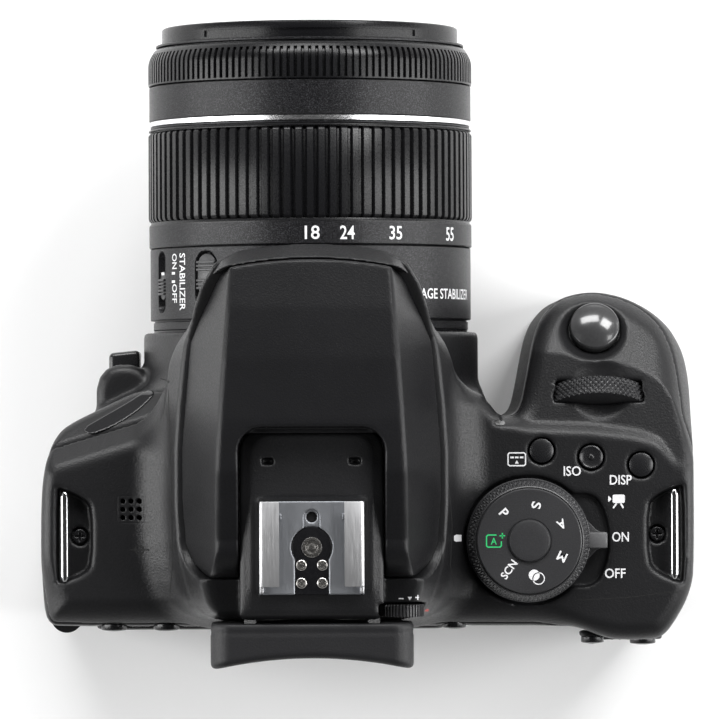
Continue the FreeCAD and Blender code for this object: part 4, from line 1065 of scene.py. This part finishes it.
stand_for("focus_mode_knob", "af_mf_switch",
          *switch_knob(40.0, 2.5, -41.6, -32.9, [-2.6, -1.85, -1.1, 1.1, 1.85, 2.6]), "dial")
stand_for("stabilizer_knob", "stabilizer_switch",
          *switch_knob(67.0, 1.5, -38.3, -32.5, [-1.1, -0.4, 0.3, 1.0, 1.7]), "dial")


# ---- controls -----------------------------------------------------------------------
def dome(along, radius, rise, steps=7):
    """Rows from a rounded rim up to the middle of a domed cap."""
    ball = (radius * radius + rise * rise) / (2 * rise)
    rows = []
    for share in np.linspace(1.0, 0.02, steps):
        r = radius * share
        rows.append((along + rise - ball + math.sqrt(ball * ball - r * r), r))
    return rows


def knob(name, node_name, rows, centre, axis, mat, n=64, wave=None, sharp=40):
    return stand_for(name, node_name, *turned(rows, centre, axis, n, wave, closed=False, caps=True),
                     mat, sharp=sharp)


def slope_point(x, y, lift=0.0):
    return tuple(np.array((x, y, grip_z(y))) + lift * np.array(UP_SLOPE))


knob("shutter_button_cap", "shutter_button",
     [(-5.0, 1.6), (-2.2, 1.6), (-2.2, 4.7), (-2.0, 4.95), (0.30, 4.95), (0.52, 4.86), (0.66, 4.7)]
     + dome(0.68, 4.62, 1.2, 10), slope_point(*SHUTTER), UP_SLOPE, "release", 96)
DIAL_AXIS = (0.0, math.cos(SLOPE), math.sin(SLOPE))
wheel_rows = [(-4.0, 1.4), (-1.9, 1.4), (-1.9, 9.6), (-1.82, 10.1)]
wheel_rows += [(a, 10.5, 1) for a in np.linspace(-1.7, 1.7, 19)]
wheel_rows += [(1.82, 10.1), (1.9, 9.6), (1.9, 1.4), (4.0, 1.4)]
knob("main_dial_wheel", "main_dial", wheel_rows, slope_point(*MAIN_DIAL, lift=-7.3), DIAL_AXIS,
     "dial", 448, knurl(56, 0.55, 0.85), sharp=28)

dx, dy = DIAL
rows = [(69.0, 2.9), (75.6, 2.9), (75.6, 11.7), (75.75, 12.0)]
rows += [(z, 12.2 - max(z - 78.2, 0) * 0.62, 1) for z in np.linspace(75.8, 80.1, 20)]
rows += [(80.2, 10.9), (80.3, 10.7), (80.15, 10.6), (80.15, 10.48), (80.95, 10.42), (81.1, 10.25),
         (81.1, 9.0), (81.1, 4.45), (80.98, 4.35), (80.98, 4.22), (81.5, 4.12), (81.72, 3.95),
         (81.78, 3.7), (81.8, 2.0), (81.8, 0.05)]
knob("mode_dial_knob", "mode_dial", rows, (dx, dy, 0), UP, "dial", 640,
     knurl(80, 0.42, 0.62), sharp=28)
ring = turned([(73.1, 3.2), (73.1, 12.2), (73.25, 12.4), (75.1, 12.4), (75.3, 12.2), (75.3, 3.2)],
              (dx, dy, 0), UP, 96)
neck = prism([(dx - 11.2, dy - 4.6), (dx - 13.6, dy - 2.1), (dx - 14.6, dy - 1.6), (dx - 14.6, dy + 1.6),
              (dx - 13.6, dy + 2.1), (dx - 11.2, dy + 4.6)], 73.15, 74.7, 0.25)
stand_for("power_lever_ring", "power_lever", *merge(ring, neck), "dial", sharp=35)
tip = bevelled((dx - 15.75, dy - 1.6, 73.1), (dx - 11.6, dy + 1.6, 77.0), 0.4)
add_to("power_lever", "power_lever_tip", *tip, "lever", sharp=35)

for name, at in TOP_BUTTONS.items():
    if name == "iso_button":
        rows = [(73.9, 2.4), (74.12, 2.3), (74.2, 2.1), (74.1, 1.9), (74.0, 1.2), (73.98, 0.62),
                (74.2, 0.5), (74.28, 0.3), (74.3, 0.05)]
    else:
        rows = [(74.0, 2.4), (74.14, 2.34)] + dome(74.2, 2.2, 0.3, 5)
    rows = [(72.0, 1.1), (72.0, 2.3), (72.1, 2.4)] + rows
    knob(name + "_cap", name, rows, (*at, 0), UP, "button", 48)

REAR_BUTTONS = ["menu_button", "info_button", "live_view_button", "af_on_button", "magnify_button",
                "playback_button", "erase_button"]


def round_node(node_name):
    """Centre in x and z, radius, and front and back in y, of a round node seen from behind."""
    lo, hi = node_box(node_name)
    return (lo[0] + hi[0]) / 2, (lo[2] + hi[2]) / 2, (hi[0] - lo[0]) / 2, lo[1], hi[1]


for name in REAR_BUTTONS:
    cx, cz, r, _, face = round_node(name)
    rows = [(face - 1.5, r * 0.5), (face - 1.5, r - 0.1), (face - 1.4, r),
            (face - 0.5, r), (face - 0.34, r - 0.07)] + dome(face - 0.3, r - 0.15, 0.3, 5)
    knob(name + "_cap", name, rows, (cx, 0, cz), BACKWARD, "button", 48)

pad = turned([(29.4, 5.7), (29.4, 11.0), (29.5, 11.2), (33.0, 11.2), (33.5, 11.0, 1), (34.0, 10.7, 1),
              (34.2, 10.3, 1), (34.2, 9.4), (33.7, 8.9), (33.6, 7.4), (33.9, 6.2), (33.8, 5.7)],
             REAR_DIAL, BACKWARD, 360, ribs(45, 0.22, 0.5, 0.25))
stand_for("rear_dial_ring", "rear_dial", *pad, "dial", sharp=34)
knob("set_button_cap", "set_button",
     [(30.0, 5.2), (33.4, 5.3), (33.7, 5.2), (33.9, 4.9), (33.85, 4.4), (33.72, 3.0), (33.68, 0.1)],
     REAR_DIAL, BACKWARD, "button", 64)
kx, kz, kr, front, back = round_node("diopter_knob")
knob("diopter_wheel", "diopter_knob",
     [(front, kr - 0.3), (front + 0.15, kr, 1), (back - 0.15, kr, 1), (back, kr - 0.3),
      (back, kr - 1.2), (back - 0.3, kr - 1.6), (back - 0.35, 0.1)], (kx, 0, kz), BACKWARD,
     "dial", 240, ribs(40, 0.35, 0.4, 0.25))

lo, hi = node_box("lens_release_button")
cap = bevelled(lo, hi, 0.9, 4)
for v in cap[0]:
    v[1] += 0.6 * ((v[0] - lo[0]) / (hi[0] - lo[0])) * (v[1] < lo[1] + 2)
stand_for("release_cap", "lens_release_button", *cap, "button", sharp=40)


# ---- accessory shoe -----------------------------------------------------------------
def along_y(outline, y0, y1, bevel=0.15):
    """A bar of constant section, given as (x, z) points, along Y."""
    verts, faces = prism(outline, y0, y1, bevel)
    return verts[:, [0, 2, 1]], [f[::-1] for f in faces]


def shoe_rail(s):
    """One rail of the accessory shoe with its lip, on side s."""
    section = [(10.3, 97.2), (10.3, 100.55), (10.2, 100.9), (9.95, 101.12), (9.6, 101.2), (6.4, 101.2),
               (6.4, 100.3), (9.15, 100.3), (9.35, 100.2), (9.4, 99.95), (9.4, 97.2)]
    verts, faces = along_y(section, 8.0, 24.7)
    if s < 0:
        verts[:, 0] *= -1
        faces = [f[::-1] for f in faces]
    return verts, faces


def shoe_floor():
    """The floor plate with its keyhole, edges eased."""
    form = Form((-10.4, 7.9, 97.1), (10.4, 26.4, 98.2), 0.16)
    form.f = brick(form.p, (-10.3, 8, 97.2), (10.3, 26.3, 98.0), 0.08)
    form.bore(0, 17, 90, 105, 4.05, 0.12)
    form.slot((-3.35, 17, 90), (3.35, 30, 105), 0.12, 0)
    form.cut((-1.5, 9, 97), (1.5, 14, 99), lambda p: np.minimum(
        drum(p, 0, 11.1, 97.55, 105, 1.55), brick(p, (-1.55, 11.1, 97.55), (1.55, 14, 105))), 0.1)
    form.bore(0, 11.1, 90, 105, 1.06)
    for x in (-9.75, 9.75):
        form.slot((x - 0.12, 24.7, 90), (x + 0.12, 30, 105), 0, 0)
    return form.mesh()


tabs = [bevelled((s * 9.85 - 0.42, 24.6, 97.3), (s * 9.85 + 0.42, 26.1, 99.6), 0.3) for s in (-1, 1)]
springs = [bevelled((s * 6.2 - 0.25, 10.4, 98.0), (s * 6.2 + 0.25, 11.6, 98.35), 0.1) for s in (-1, 1)]
stand_for("shoe_frame", "hot_shoe", *merge(shoe_rail(1), shoe_rail(-1), *tabs), "steel", sharp=40)
add_to("hot_shoe", "shoe_plate", *merge(shoe_floor(), *springs), "plate", sharp=40)
arc = [(3.9 * math.sin(a), 17 + 3.9 * math.cos(a))
       for a in np.linspace(math.radians(56), math.radians(161), 24)]
side = [(3.2, 26.25)] + arc + [(1.25, 13.0)]
outline = side + [(-x, y) for x, y in side[::-1]]
add_to("top_cover", "shoe_insulator", *prism(outline, 97.0, 98.0, 0.12), "gloss", sharp=40)
discs = []
for x, y, r in ((0, 17, 2.0), (-2.05, 20.5, 1.05), (2.05, 20.5, 1.05), (-2.05, 24, 1.05),
                (2.05, 24, 1.05)):
    rows = [(97.3, r), (98.12, r), (98.22, r - 0.1), (98.26, r * 0.8), (98.26, r * 0.62),
            (98.2, r * 0.56), (98.2, r * 0.4), (98.26, r * 0.34), (98.28, 0.04)]
    discs.append(turned(rows, (x, y, 0), UP, 48, closed=False, caps=True))
stand_for("shoe_pins", "shoe_contacts", *merge(*discs), "spun", sharp=35)

bars = []
for x0, x1 in ((48.6, 50.2), (-73.4, -71.8)):
    plan = [(x0, 7.2), (x0 + 0.5, 6.15), (x1 - 0.5, 6.15), (x1, 7.2), (x1, 23.2), (x1 - 0.5, 24.25),
            (x0 + 0.5, 24.25), (x0, 23.2)]
    bars.append(prism(plan, 72.6, 74.4, 0.5, 4))
stand_for("strap_bars", "strap_lugs", *merge(*bars), "chrome", sharp=50)


# ---- finder and screen --------------------------------------------------------------
def eyecup_form():
    """The rubber cup, with its opening, a groove round its edge and slots for its two rails."""
    form = Form((-20.2, 31.9, 74.6), (20.2, 41.5, 96.6), 0.4)
    p = form.p
    x, y, z = p
    centre, half, corner = (0, 85.6), (15.8, 6.6), 4.2
    flat = from_behind(p, centre, half) - corner
    inner = np.minimum(np.maximum(np.abs(x) - half[0], np.abs(z - centre[1]) - half[1]) - corner, 0)
    flat = np.where(flat <= -corner, inner, flat)
    rear = y - (38.9 + 2.35 * np.clip(np.abs(x) / 20.0, 0, 1.1) ** 2)
    form.f = meet(meet(flat, rear, 1.3), 32.1 - y, 0.5)
    form.slot((-10.5, 20, 78.8), (10.5, 60, 91.2), 0.9, 2.4)
    for x in (-12.4, 12.4):
        form.slot((x - 1.1, 20, 60), (x + 1.1, 33.7, 92.3), 0.1, 0.1)
    form.cut((-21, 33.4, 74), (21, 34.2, 97), lambda p: np.maximum(
        np.abs(p[1] - 33.75) - 0.14, 3.9 - from_behind(p, centre, half)), 0.1)
    return form.mesh()


stand_for("eyecup_rubber", "eyecup", *eyecup_form(), "rubber")


def monitor_form():
    form = Form((-27.2, 26.4, 9.3), (43.8, 34.5, 62.7), 0.5)
    p = form.p
    centre, half = (8.3, 36.0), (32.3, 23.5)
    inner = np.minimum(np.maximum(*[np.abs(p[k] - c) - h for k, c, h in zip((0, 2), centre, half)]), 0)
    flat = from_behind(p, centre, half) + inner - 3.0
    form.f = meet(flat, np.abs(p[1] - 30.45) - 3.85, 1.0)
    form.slot((-24.1, 33.05, 13.4), (40.7, 40, 58.6), 0.15, 0.4)
    return form.mesh()


stand_for("monitor_case", "monitor_housing", *monitor_form(), "body")
stand_for("monitor_pane", "monitor_glass", *bevelled((-24.0, 33.05, 13.5), (40.6, 34.22, 58.5), 0.35, 3),
          "screen", sharp=40)


# ---- lower covers -------------------------------------------------------------------
def lower_shell(p, side):
    """The casing between the base and the top cover, on one side of the seam across the body."""
    return meet(meet(split(casing(p), p, low=True), BASE_Z + 0.07 - p[2], 0.25), side, 0.25)


def make_front_cover():
    form = Form((-76.9, -33.9, 2.3), (54.5, 14.0, 70.2), 0.6)
    p = form.p
    form.f = lower_shell(p, p[1] - SIDE_Y + SEAM)
    form.bore_y(0, AXIS_Z, -60, -24.2, 32.9, 0.35)
    form.bore_y(0, AXIS_Z, -60, -8, 26.4, 0.3)
    form.slot((-15, -60, 32), (15, 8, 56), 0.3, 1.0)
    form.slot((34.9, -60, 30.7), (41.7, -9, 45.3), 0.3, 1.1)
    form.slot((-71, -24, 2), (-54.4, 12, 53.6), 0.1)
    carve_grip(form)
    carve_terminals(form)
    return form.mesh()


def grip_skin_zone(p, inset):
    """Where the rubber skin wraps the grip, from its inner side round the front to the back."""
    x, y, z = p
    return np.maximum(np.maximum(np.abs(z - 31.5) - 25.5, y - 6), x + 38.6) + inset


def carve_grip(form):
    zone = np.maximum(grip_skin_zone(form.p, 0.0), -in_plan(OUTLINE, form.p) - 1.2)
    form.f = meet(form.f, -zone, 0.15)


def make_grip_skin():
    """The rubber skin of the grip, a little proud and closely grained."""
    form = Form((-77, -34, 5.6), (-38, 6.4, 57.4), 0.5)
    p = form.p
    flat = in_plan(OUTLINE, p)
    form.f = meet(meet(flat + 0.02, grip_skin_zone(p, 0.12), 0.45), -(flat + 1.15), 0.1)
    return form.mesh()


def carve_terminals(form):
    for y0, y1 in ((4.8, 13.2), (14.4, 23.0)):
        form.slot((52.25, y0 - 0.2, 13.8), (60, y1 + 0.2, 60.2), 0.15)
        form.slot((45.5, y0 + 0.7, 14.8), (60, y1 - 0.7, 59.2), 0.15)


def make_rear_cover():
    form = Form((-76.9, 13.6, 2.3), (55.5, 37.0, 70.2), 0.6)
    p = form.p
    form.f = lower_shell(p, SIDE_Y + SEAM - p[1])
    form.slot((-27.6, 26.2, 8.9), (49.6, 60, 63.1), 0.35, 0.8)
    form.slot((46.0, 28.0, 7.4), (60, 60, 64.8), 0.3, 0.5)
    form.bore_y(REAR_DIAL[0], REAR_DIAL[2], 29.0, 60, 11.5, 0.3)
    for name in REAR_BUTTONS:
        cx, cz, r, front, _ = round_node(name)
        form.bore_y(cx, cz, front - 0.4, 60, r + 0.35, 0.3)
    lo, hi = node_box("thumb_rubber")
    form.slot((lo[0] - 0.15, 35.4, lo[2] - 0.15), (hi[0] + 0.15, 60, hi[2] + 0.15), 0.15, 2.4)
    carve_terminals(form)
    return form.mesh()


def make_thumb_pad():
    lo, hi = node_box("thumb_rubber")
    form = Form(lo - 0.3, hi + 0.3, 0.35)
    p = form.p
    middle, half, corner = (lo + hi) / 2, (hi - lo) / 2, 2.3
    flat = from_behind(p, middle[[0, 2]], half[[0, 2]] - corner) - corner
    ripple = 0.16 * np.cos(p[0] * 2 * math.pi / 1.6) * ramp_up(-flat, 0.4, 1.6)
    form.f = meet(flat, np.abs(p[1] - middle[1]) - half[1] + 0.12 - ripple, 0.4)
    return form.mesh()


def make_base():
    form = Form((-76.9, -33.9, -0.2), (54.5, 36.7, 2.6), 0.5)
    p = form.p
    form.f = meet(casing(p), p[2] - (BASE_Z - 0.03), 0.2)
    form.bore(0, 0, -5, 9, 5.15, 0.2)
    form.slot((-71.85, -24.85, -5), (-53.15, 11.85, 9), 0.2, 0.4)
    for at in ((48, 27), (48, 0), (20, -17), (-20, -17), (-40, 28), (10, 28)):
        form.bore(*at, -5, 1.3, 1.6, 0.1)
    return form.mesh()


stand_for("front_cover_shell", "front_cover", *make_front_cover(), "body")
stand_for("rear_cover_shell", "rear_cover", *make_rear_cover(), "body")
stand_for("base_cover_plate", "base_cover", *make_base(), "body")
stand_for("grip_skin_rubber", "grip_rubber", *make_grip_skin(), "skin")
stand_for("thumb_pad_rubber", "thumb_rubber", *make_thumb_pad(), "skin")


# ---- glass and screws ----------------------------------------------------------------
lo, hi = node_box("front_lens_group")
r, back, front = (hi[0] - lo[0]) / 2, -hi[1], -lo[1]
middle = (back + front) / 2
cap = dome(middle + 0.5, r - 0.02, front - middle - 0.5, 24)
rows = [(2 * middle - a, b) for a, b in cap[::-1]] + [(middle - 0.4, r), (middle + 0.4, r)] + cap
knob("front_glass_dome", "front_lens_group", rows, (0, 0, AXIS_Z), (0, -1, 0), "glass", 96, sharp=60)


def screw_form(x, y):
    """A cross-head screw at the bottom of a strap pocket."""
    form = Form((x - 1.6, y - 1.6, 69.8), (x + 1.6, y + 1.6, 71.0), 0.11)
    form.f = drum(form.p, x, y, 69.92, 70.75, 1.45, 0.22)
    for half in ((0.95, 0.17), (0.17, 0.95)):
        form.slot((x - half[0], y - half[1], 70.2), (x + half[0], y + half[1], 72), 0.03, 0.05)
    return form.mesh()


add_to("case_screws", "strap_screws", *merge(*[screw_form(*at) for at in STRAP_SCREWS]), "button")


# ---- lettering and small marks ------------------------------------------------------
def name_plate():
    """The blank gloss strip on the chamfer of the left shoulder."""
    form = Form((30, -15.5, 60), (47.5, -4, 75), 0.25)
    p = form.p
    plan = soften([(46.2, -6.4), (41.7, -9.0), (36.9, -11.7), (33.5, -14.0), (32.0, -14.2), (31.5, -13.5),
                   (32.1, -12.4), (34.8, -9.8), (38.3, -7.5), (42.2, -5.7), (44.4, -5.1)], 1)
    skin = casing(p)
    form.f = meet(meet(skin - 0.18, in_plan(plan, p), 0.15), -skin - 0.5, 0.05)
    return form.mesh()


add_to("top_cover", "shoulder_plate", *name_plate(), "gloss")

frame_icon = merge(stroke([(-1.75, -1.0), (-1.75, 1.0), (-1.45, 1.28), (1.45, 1.28), (1.75, 1.0),
                           (1.75, -1.0), (1.45, -1.28), (-1.45, -1.28)], 0.26, True),
                   *[patch([(c - 0.36, -0.55), (c + 0.36, -0.55), (c + 0.36, -0.2), (c - 0.36, -0.2)])
                     for c in (-0.95, 0, 0.95)],
                   patch([(-0.38, 0.85), (0, 0.2), (0.38, 0.85)]))
movie_icon = merge(patch([(-0.85, -1.05), (-0.6, -1.25), (1.35, -1.25), (1.6, -1.05), (1.6, 0.25),
                          (1.35, 0.45), (-0.6, 0.45), (-0.85, 0.25)][::-1]),
                   patch([(-1.05, -0.35), (-1.55, -0.95), (-1.75, -0.95), (-1.75, 0.15), (-1.55, 0.15)]),
                   stroke([(-0.05, 0.5), (-0.75, 1.45)], 0.34), stroke([(0.75, 0.5), (1.3, 1.45)], 0.34))
movie_icon = (movie_icon[0] * [-1, 1, 1], movie_icon[1])
index_mark = patch([(-0.95, -0.6), (-0.95, 0.6), (0.5, 0.72), (0.95, 0.45), (0.95, -0.45),
                    (0.5, -0.72)])
for name, art, x, y in (("mark_focus_area", frame_icon, -41.1, 0.1),
                        ("mark_iso", label("ISO", 3.45), -52.2, 2.5),
                        ("mark_display", label("DISP", 4.4), -61.9, 4.3),
                        ("mark_movie", movie_icon, -61.1, 8.5),
                        ("mark_on", label("ON", 3.35), -61.8, 15.7),
                        ("mark_off", label("OFF", 4.15), -60.7, 23.0),
                        ("mark_index", index_mark, -29.3, 15.75)):
    print_on(top, name, art, x, y)
plane_mark = merge(stroke(circle_points(0, 0, 0.85), 0.32, True), stroke([(-1.95, 0), (1.95, 0)], 0.26))
print_on(top, "mark_image_plane", plane_mark, 34.5, 17.9, "shade")
minus = stroke([(-0.5, 0), (0.5, 0)], 0.24)
print_on(top, "mark_minus", minus, -17.6, 27.4)
print_on(top, "mark_plus", merge(minus, stroke([(0, -0.5), (0, 0.5)], 0.24)), -20.9, 27.2)
print_on(top, "mark_eye_scale", patch([(-0.45, -0.35), (0.45, -0.35), (0, 0.4)]), -19.3, 27.4)
print_on(top, "mark_diopter", stroke([(-0.9, 0.05), (0.9, -0.15)], 0.5), -22.3, 30.0, "red")
# Dark strokes along where the covers meet: painted shade standing for the shadow in the seams' gaps.
seam = [(-52.4, 28.3), (-57, 28.2), (-63.8, 27.8), (-70.7, 26.9), (-73.6, 26.8)]
print_on(top, "seam_rear_right_painted_shade", stroke(seam, 0.16), 0, 0, "shade")
for name, line in (("seam_left", [(30.2, -16.4), (28.6, -15.9), (28.5, -13.5), (27.9, 4), (27.8, 21),
                                  (28.4, 26.5)]),
                   ("seam_right", [(-27.4, 6), (-28.0, 13), (-27.6, 21), (-28.4, 25.5)])):
    print_on(top, name, stroke(line, 0.14), 0, 0, "shade")
print_on(top, "status_lamp", patch(capsule(0.42, 2.0)), *STATUS_LAMP, "lamp", 90, 0.12)


def on_dial(name, art, angle, reach, mat="white"):
    """Artwork on the mode dial, upright when it is turned to the index mark."""
    a = math.radians(angle)
    verts = turn_flat(art[0], angle - 180)
    verts += (DIAL[0] - reach * math.cos(a), DIAL[1] - reach * math.sin(a), 81.13)
    piece(name, verts, face_up(verts, art[1]), mat, "mode_dial", smooth=False)


box_line = [(-0.55, -1.2), (1.15, -1.2), (1.45, -0.95), (1.45, 0.95), (1.15, 1.2), (-1.2, 1.2),
            (-1.5, 0.95), (-1.5, 0.05)]
auto_icon = merge(stroke(box_line, 0.25), lettering("A", 1.35, 1.2, 0.01),
                  stroke([(-1.15, -1.05), (-2.25, -1.05)], 0.25), stroke([(-1.7, -1.6), (-1.7, -0.5)], 0.25))
effect_icon = merge(stroke(circle_points(0.38, 0.32, 1.15, 30), 0.2, True),
                    patch(circle_points(-0.45, -0.4, 1.1, 30)))
on_dial("mode_auto", auto_icon, 180, 7.1, "green")
for text, width, angle, reach in (("P", 1.3, 132, 7.5), ("S", 1.35, 79, 7.2), ("A", 1.6, 27, 7.2),
                                  ("M", 1.75, -26, 7.2)):
    on_dial("mode_" + text.lower(), lettering(text, 1.9, width, 0.02), angle, reach)
on_dial("mode_effects", effect_icon, -79, 7.3)
on_dial("mode_scene", lettering("SCN", 1.6, 4.0, 0.02), 234, 7.0)


def on_lens(name, art, degrees, y, body="camera_body", radius=SLEEVE_R, turn=0.0):
    """Artwork bent round the lens, at an angle from its top towards -X."""
    verts, faces = refine(*art, 0.6)
    verts = turn_flat(verts, turn)
    faces = face_up(verts, faces)
    verts += (-radius * math.radians(degrees), y, PRINT)
    piece(name, wrap_on_lens(verts, radius), faces, "white", body, smooth=False)


def bar(half_x, half_y):
    return patch([(-half_x, -half_y), (half_x, -half_y), (half_x, half_y), (-half_x, half_y)])


for text, degrees in (("18", 0.6), ("24", 12.9), ("35", 31.2), ("55", 58.6)):
    on_lens("scale_" + text, label(text, 3.0, 2.75), degrees, -45.5, "zoom_ring", SCALE_R)
for name, art, degrees, y in (("mark_stabilizer", label("STABILIZER", 11.6, 1.9), -52.0, -36.0),
                              ("mark_stabilizer_on", label("ON", 3.1, 1.75), -56.9, -40.2),
                              ("mark_stabilizer_off", label("OFF", 3.8, 1.75), -56.9, -33.7)):
    on_lens(name, art, degrees, y, turn=-90)
on_lens("mark_switch_on", bar(0.62, 0.26), -57.6, -37.8)
on_lens("mark_switch_off", bar(0.62, 0.26), -57.6, -36.1)
on_lens("knob_line", bar(0.75, 0.28), -67.0, -37.8, "stabilizer_switch", 32.62)
on_lens("mark_image_stabilizer", label("IMAGE STABILIZER", 22.0, 2.1), 57.0, -33.4)


def print_rear(node_name, name, art, x, z, y):
    """Flat artwork that faces the back of the camera, on a node."""
    verts, faces = art
    points = np.stack([x + verts[:, 0], y + 0 * verts[:, 0], z - verts[:, 1]], 1)
    add_to(node_name, name, points, face_up(verts, faces), "white", smooth=False)


triangle = stroke([(-0.75, 0), (0.65, -0.8), (0.65, 0.8)], 0.2, True)
glass_icon = merge(stroke(circle_points(0.2, -0.2, 0.75), 0.2, True), stroke([(-0.4, 0.4), (-1.0, 1.0)], 0.3))
bin_icon = merge(stroke([(-0.6, -0.5), (-0.45, 0.9), (0.45, 0.9), (0.6, -0.5)], 0.2),
                 stroke([(-0.85, -0.75), (0.85, -0.75)], 0.22))
view_icon = merge(stroke([(-0.95, -0.5), (0.95, -0.5), (0.95, 0.7), (-0.95, 0.7)], 0.2, True),
                  stroke(circle_points(0, 0.1, 0.3, 12), 0.18, True))
star_icon = merge(*[stroke([(-0.8 * math.cos(a), -0.8 * math.sin(a)), (0.8 * math.cos(a), 0.8 * math.sin(a))],
                           0.24) for a in np.radians([30, 90, 150])])
for node_name, icon in (("playback_button", triangle), ("magnify_button", glass_icon),
                        ("erase_button", bin_icon), ("live_view_button", view_icon),
                        ("af_on_button", star_icon), ("set_button", label("SET", 3.6, 1.4))):
    cx, cz, _, _, face = round_node(node_name)
    print_rear(node_name, "icon_" + node_name, icon, cx, cz, face + 0.03)
for text, width, x in (("MENU", 3.3, 34.55), ("INFO", 3.0, 24.2)):
    print_rear("rear_cover", "mark_" + text.lower(), lettering(text, 1.2, width, 0.01), x, 66.8,
               REAR_Y + PRINT)


# ---- finishes of the CAD nodes that stay ---------------------------------------------
FINISH = {"moulded_black": "body", "grip_skin": "skin", "dial_black": "dial", "release_gloss": "gloss",
          "lens_black": "lens", "zoom_rubber": "ribs", "silver_trim": "silver", "shoe_steel": "steel",
          "lug_chrome": "chrome", "contact_gold": "gold", "lens_glass": "glass",
          "screen_gloss": "gloss", "inner_black": "shade", "silvering": "mirror",
          "blade_metal": "blade", "sensor_board": "board", "battery_case": "case"}
for name, obj in frame["nodes"].items():
    obj.data.materials.clear()
    obj.data.materials.append(MAT[FINISH[SLOT_OF[name]]])


# ---- stage, camera and lights -------------------------------------------------------
def floor_paint():
    m = new_material("floor_paint", (0.9, 0.9, 0.9), 0.7)
    b = m.node_tree.nodes["Principled BSDF"]
    link(m, ramp(m, noise(m, coords(m), 3.0), [(0.3, (0.89, 0.89, 0.89)), (0.7, (0.92, 0.92, 0.92))]),
         b.inputs["Base Color"])
    return m


def area_light(name, at, size, power, aim=(0, -0.02, 0.05)):
    """A soft box, in metres and watts."""
    data = bpy.data.lights.new(name, "AREA")
    data.shape, data.energy = "RECTANGLE", power
    data.size, data.size_y = size
    obj = bpy.data.objects.new(name, data)
    obj.location = at
    obj.rotation_euler = (Vector(aim) - Vector(at)).to_track_quat("-Z", "Y").to_euler()
    bpy.context.collection.objects.link(obj)


floor_mesh = bpy.data.meshes.new("floor")
floor_mesh.from_pydata([(-9, -9, 0), (9, -9, 0), (9, 9, 0), (-9, 9, 0)], [], [(0, 1, 2, 3)])
floor_mesh.materials.append(floor_paint())
floor = bpy.data.objects.new("floor", floor_mesh)
bpy.context.collection.objects.link(floor)
bpy.context.scene.view_settings.view_transform = "Standard"
world = bpy.context.scene.world or bpy.data.worlds.new("world")
bpy.context.scene.world = world
world.use_nodes = True
sky = world.node_tree
spot = sky.nodes.new("ShaderNodeTexCoord")
split_up = sky.nodes.new("ShaderNodeSeparateXYZ")
shade = sky.nodes.new("ShaderNodeValToRGB")
shade.color_ramp.elements[0].position, shade.color_ramp.elements[0].color = 0.30, (1, 1, 1, 1)
shade.color_ramp.elements[1].position, shade.color_ramp.elements[1].color = 0.75, (0.06, 0.06, 0.06, 1)
sky.links.new(spot.outputs["Generated"], split_up.inputs["Vector"])
sky.links.new(split_up.outputs["Z"], shade.inputs["Fac"])
sky.links.new(shade.outputs["Color"], sky.nodes["Background"].inputs["Color"])
sky.nodes["Background"].inputs["Strength"].default_value = 0.45
area_light("left_box", (0.95, 0.0, 0.48), (0.5, 1.2), 12.5)
area_light("right_box", (-0.95, 0.0, 0.50), (0.5, 1.2), 11.5)
area_light("front_box", (0.10, -0.85, 0.62), (0.7, 0.3), 9.0)
area_light("grip_box", (-0.48, -0.62, 0.62), (0.35, 0.35), 6.0, (-0.05, -0.02, 0.05))

data = bpy.data.cameras.new("camera")
data.sensor_fit, data.sensor_width, data.lens = "HORIZONTAL", 36.0, 291.7
data.clip_start, data.clip_end = 0.05, 20.0
camera = bpy.data.objects.new("camera", data)
camera.location = (0.0, -0.008, 1.2415)
forward = (Vector((-0.01008, -0.02034, 0.0415)) - camera.location).normalized()
right = forward.cross(Vector((0, -1, 0))).normalized()
turn = Matrix((right, right.cross(forward), -forward)).transposed()
camera.rotation_euler = (turn @ Matrix.Rotation(math.radians(-0.25), 3, "Z")).to_euler()
bpy.context.collection.objects.link(camera)
bpy.context.scene.camera = camera
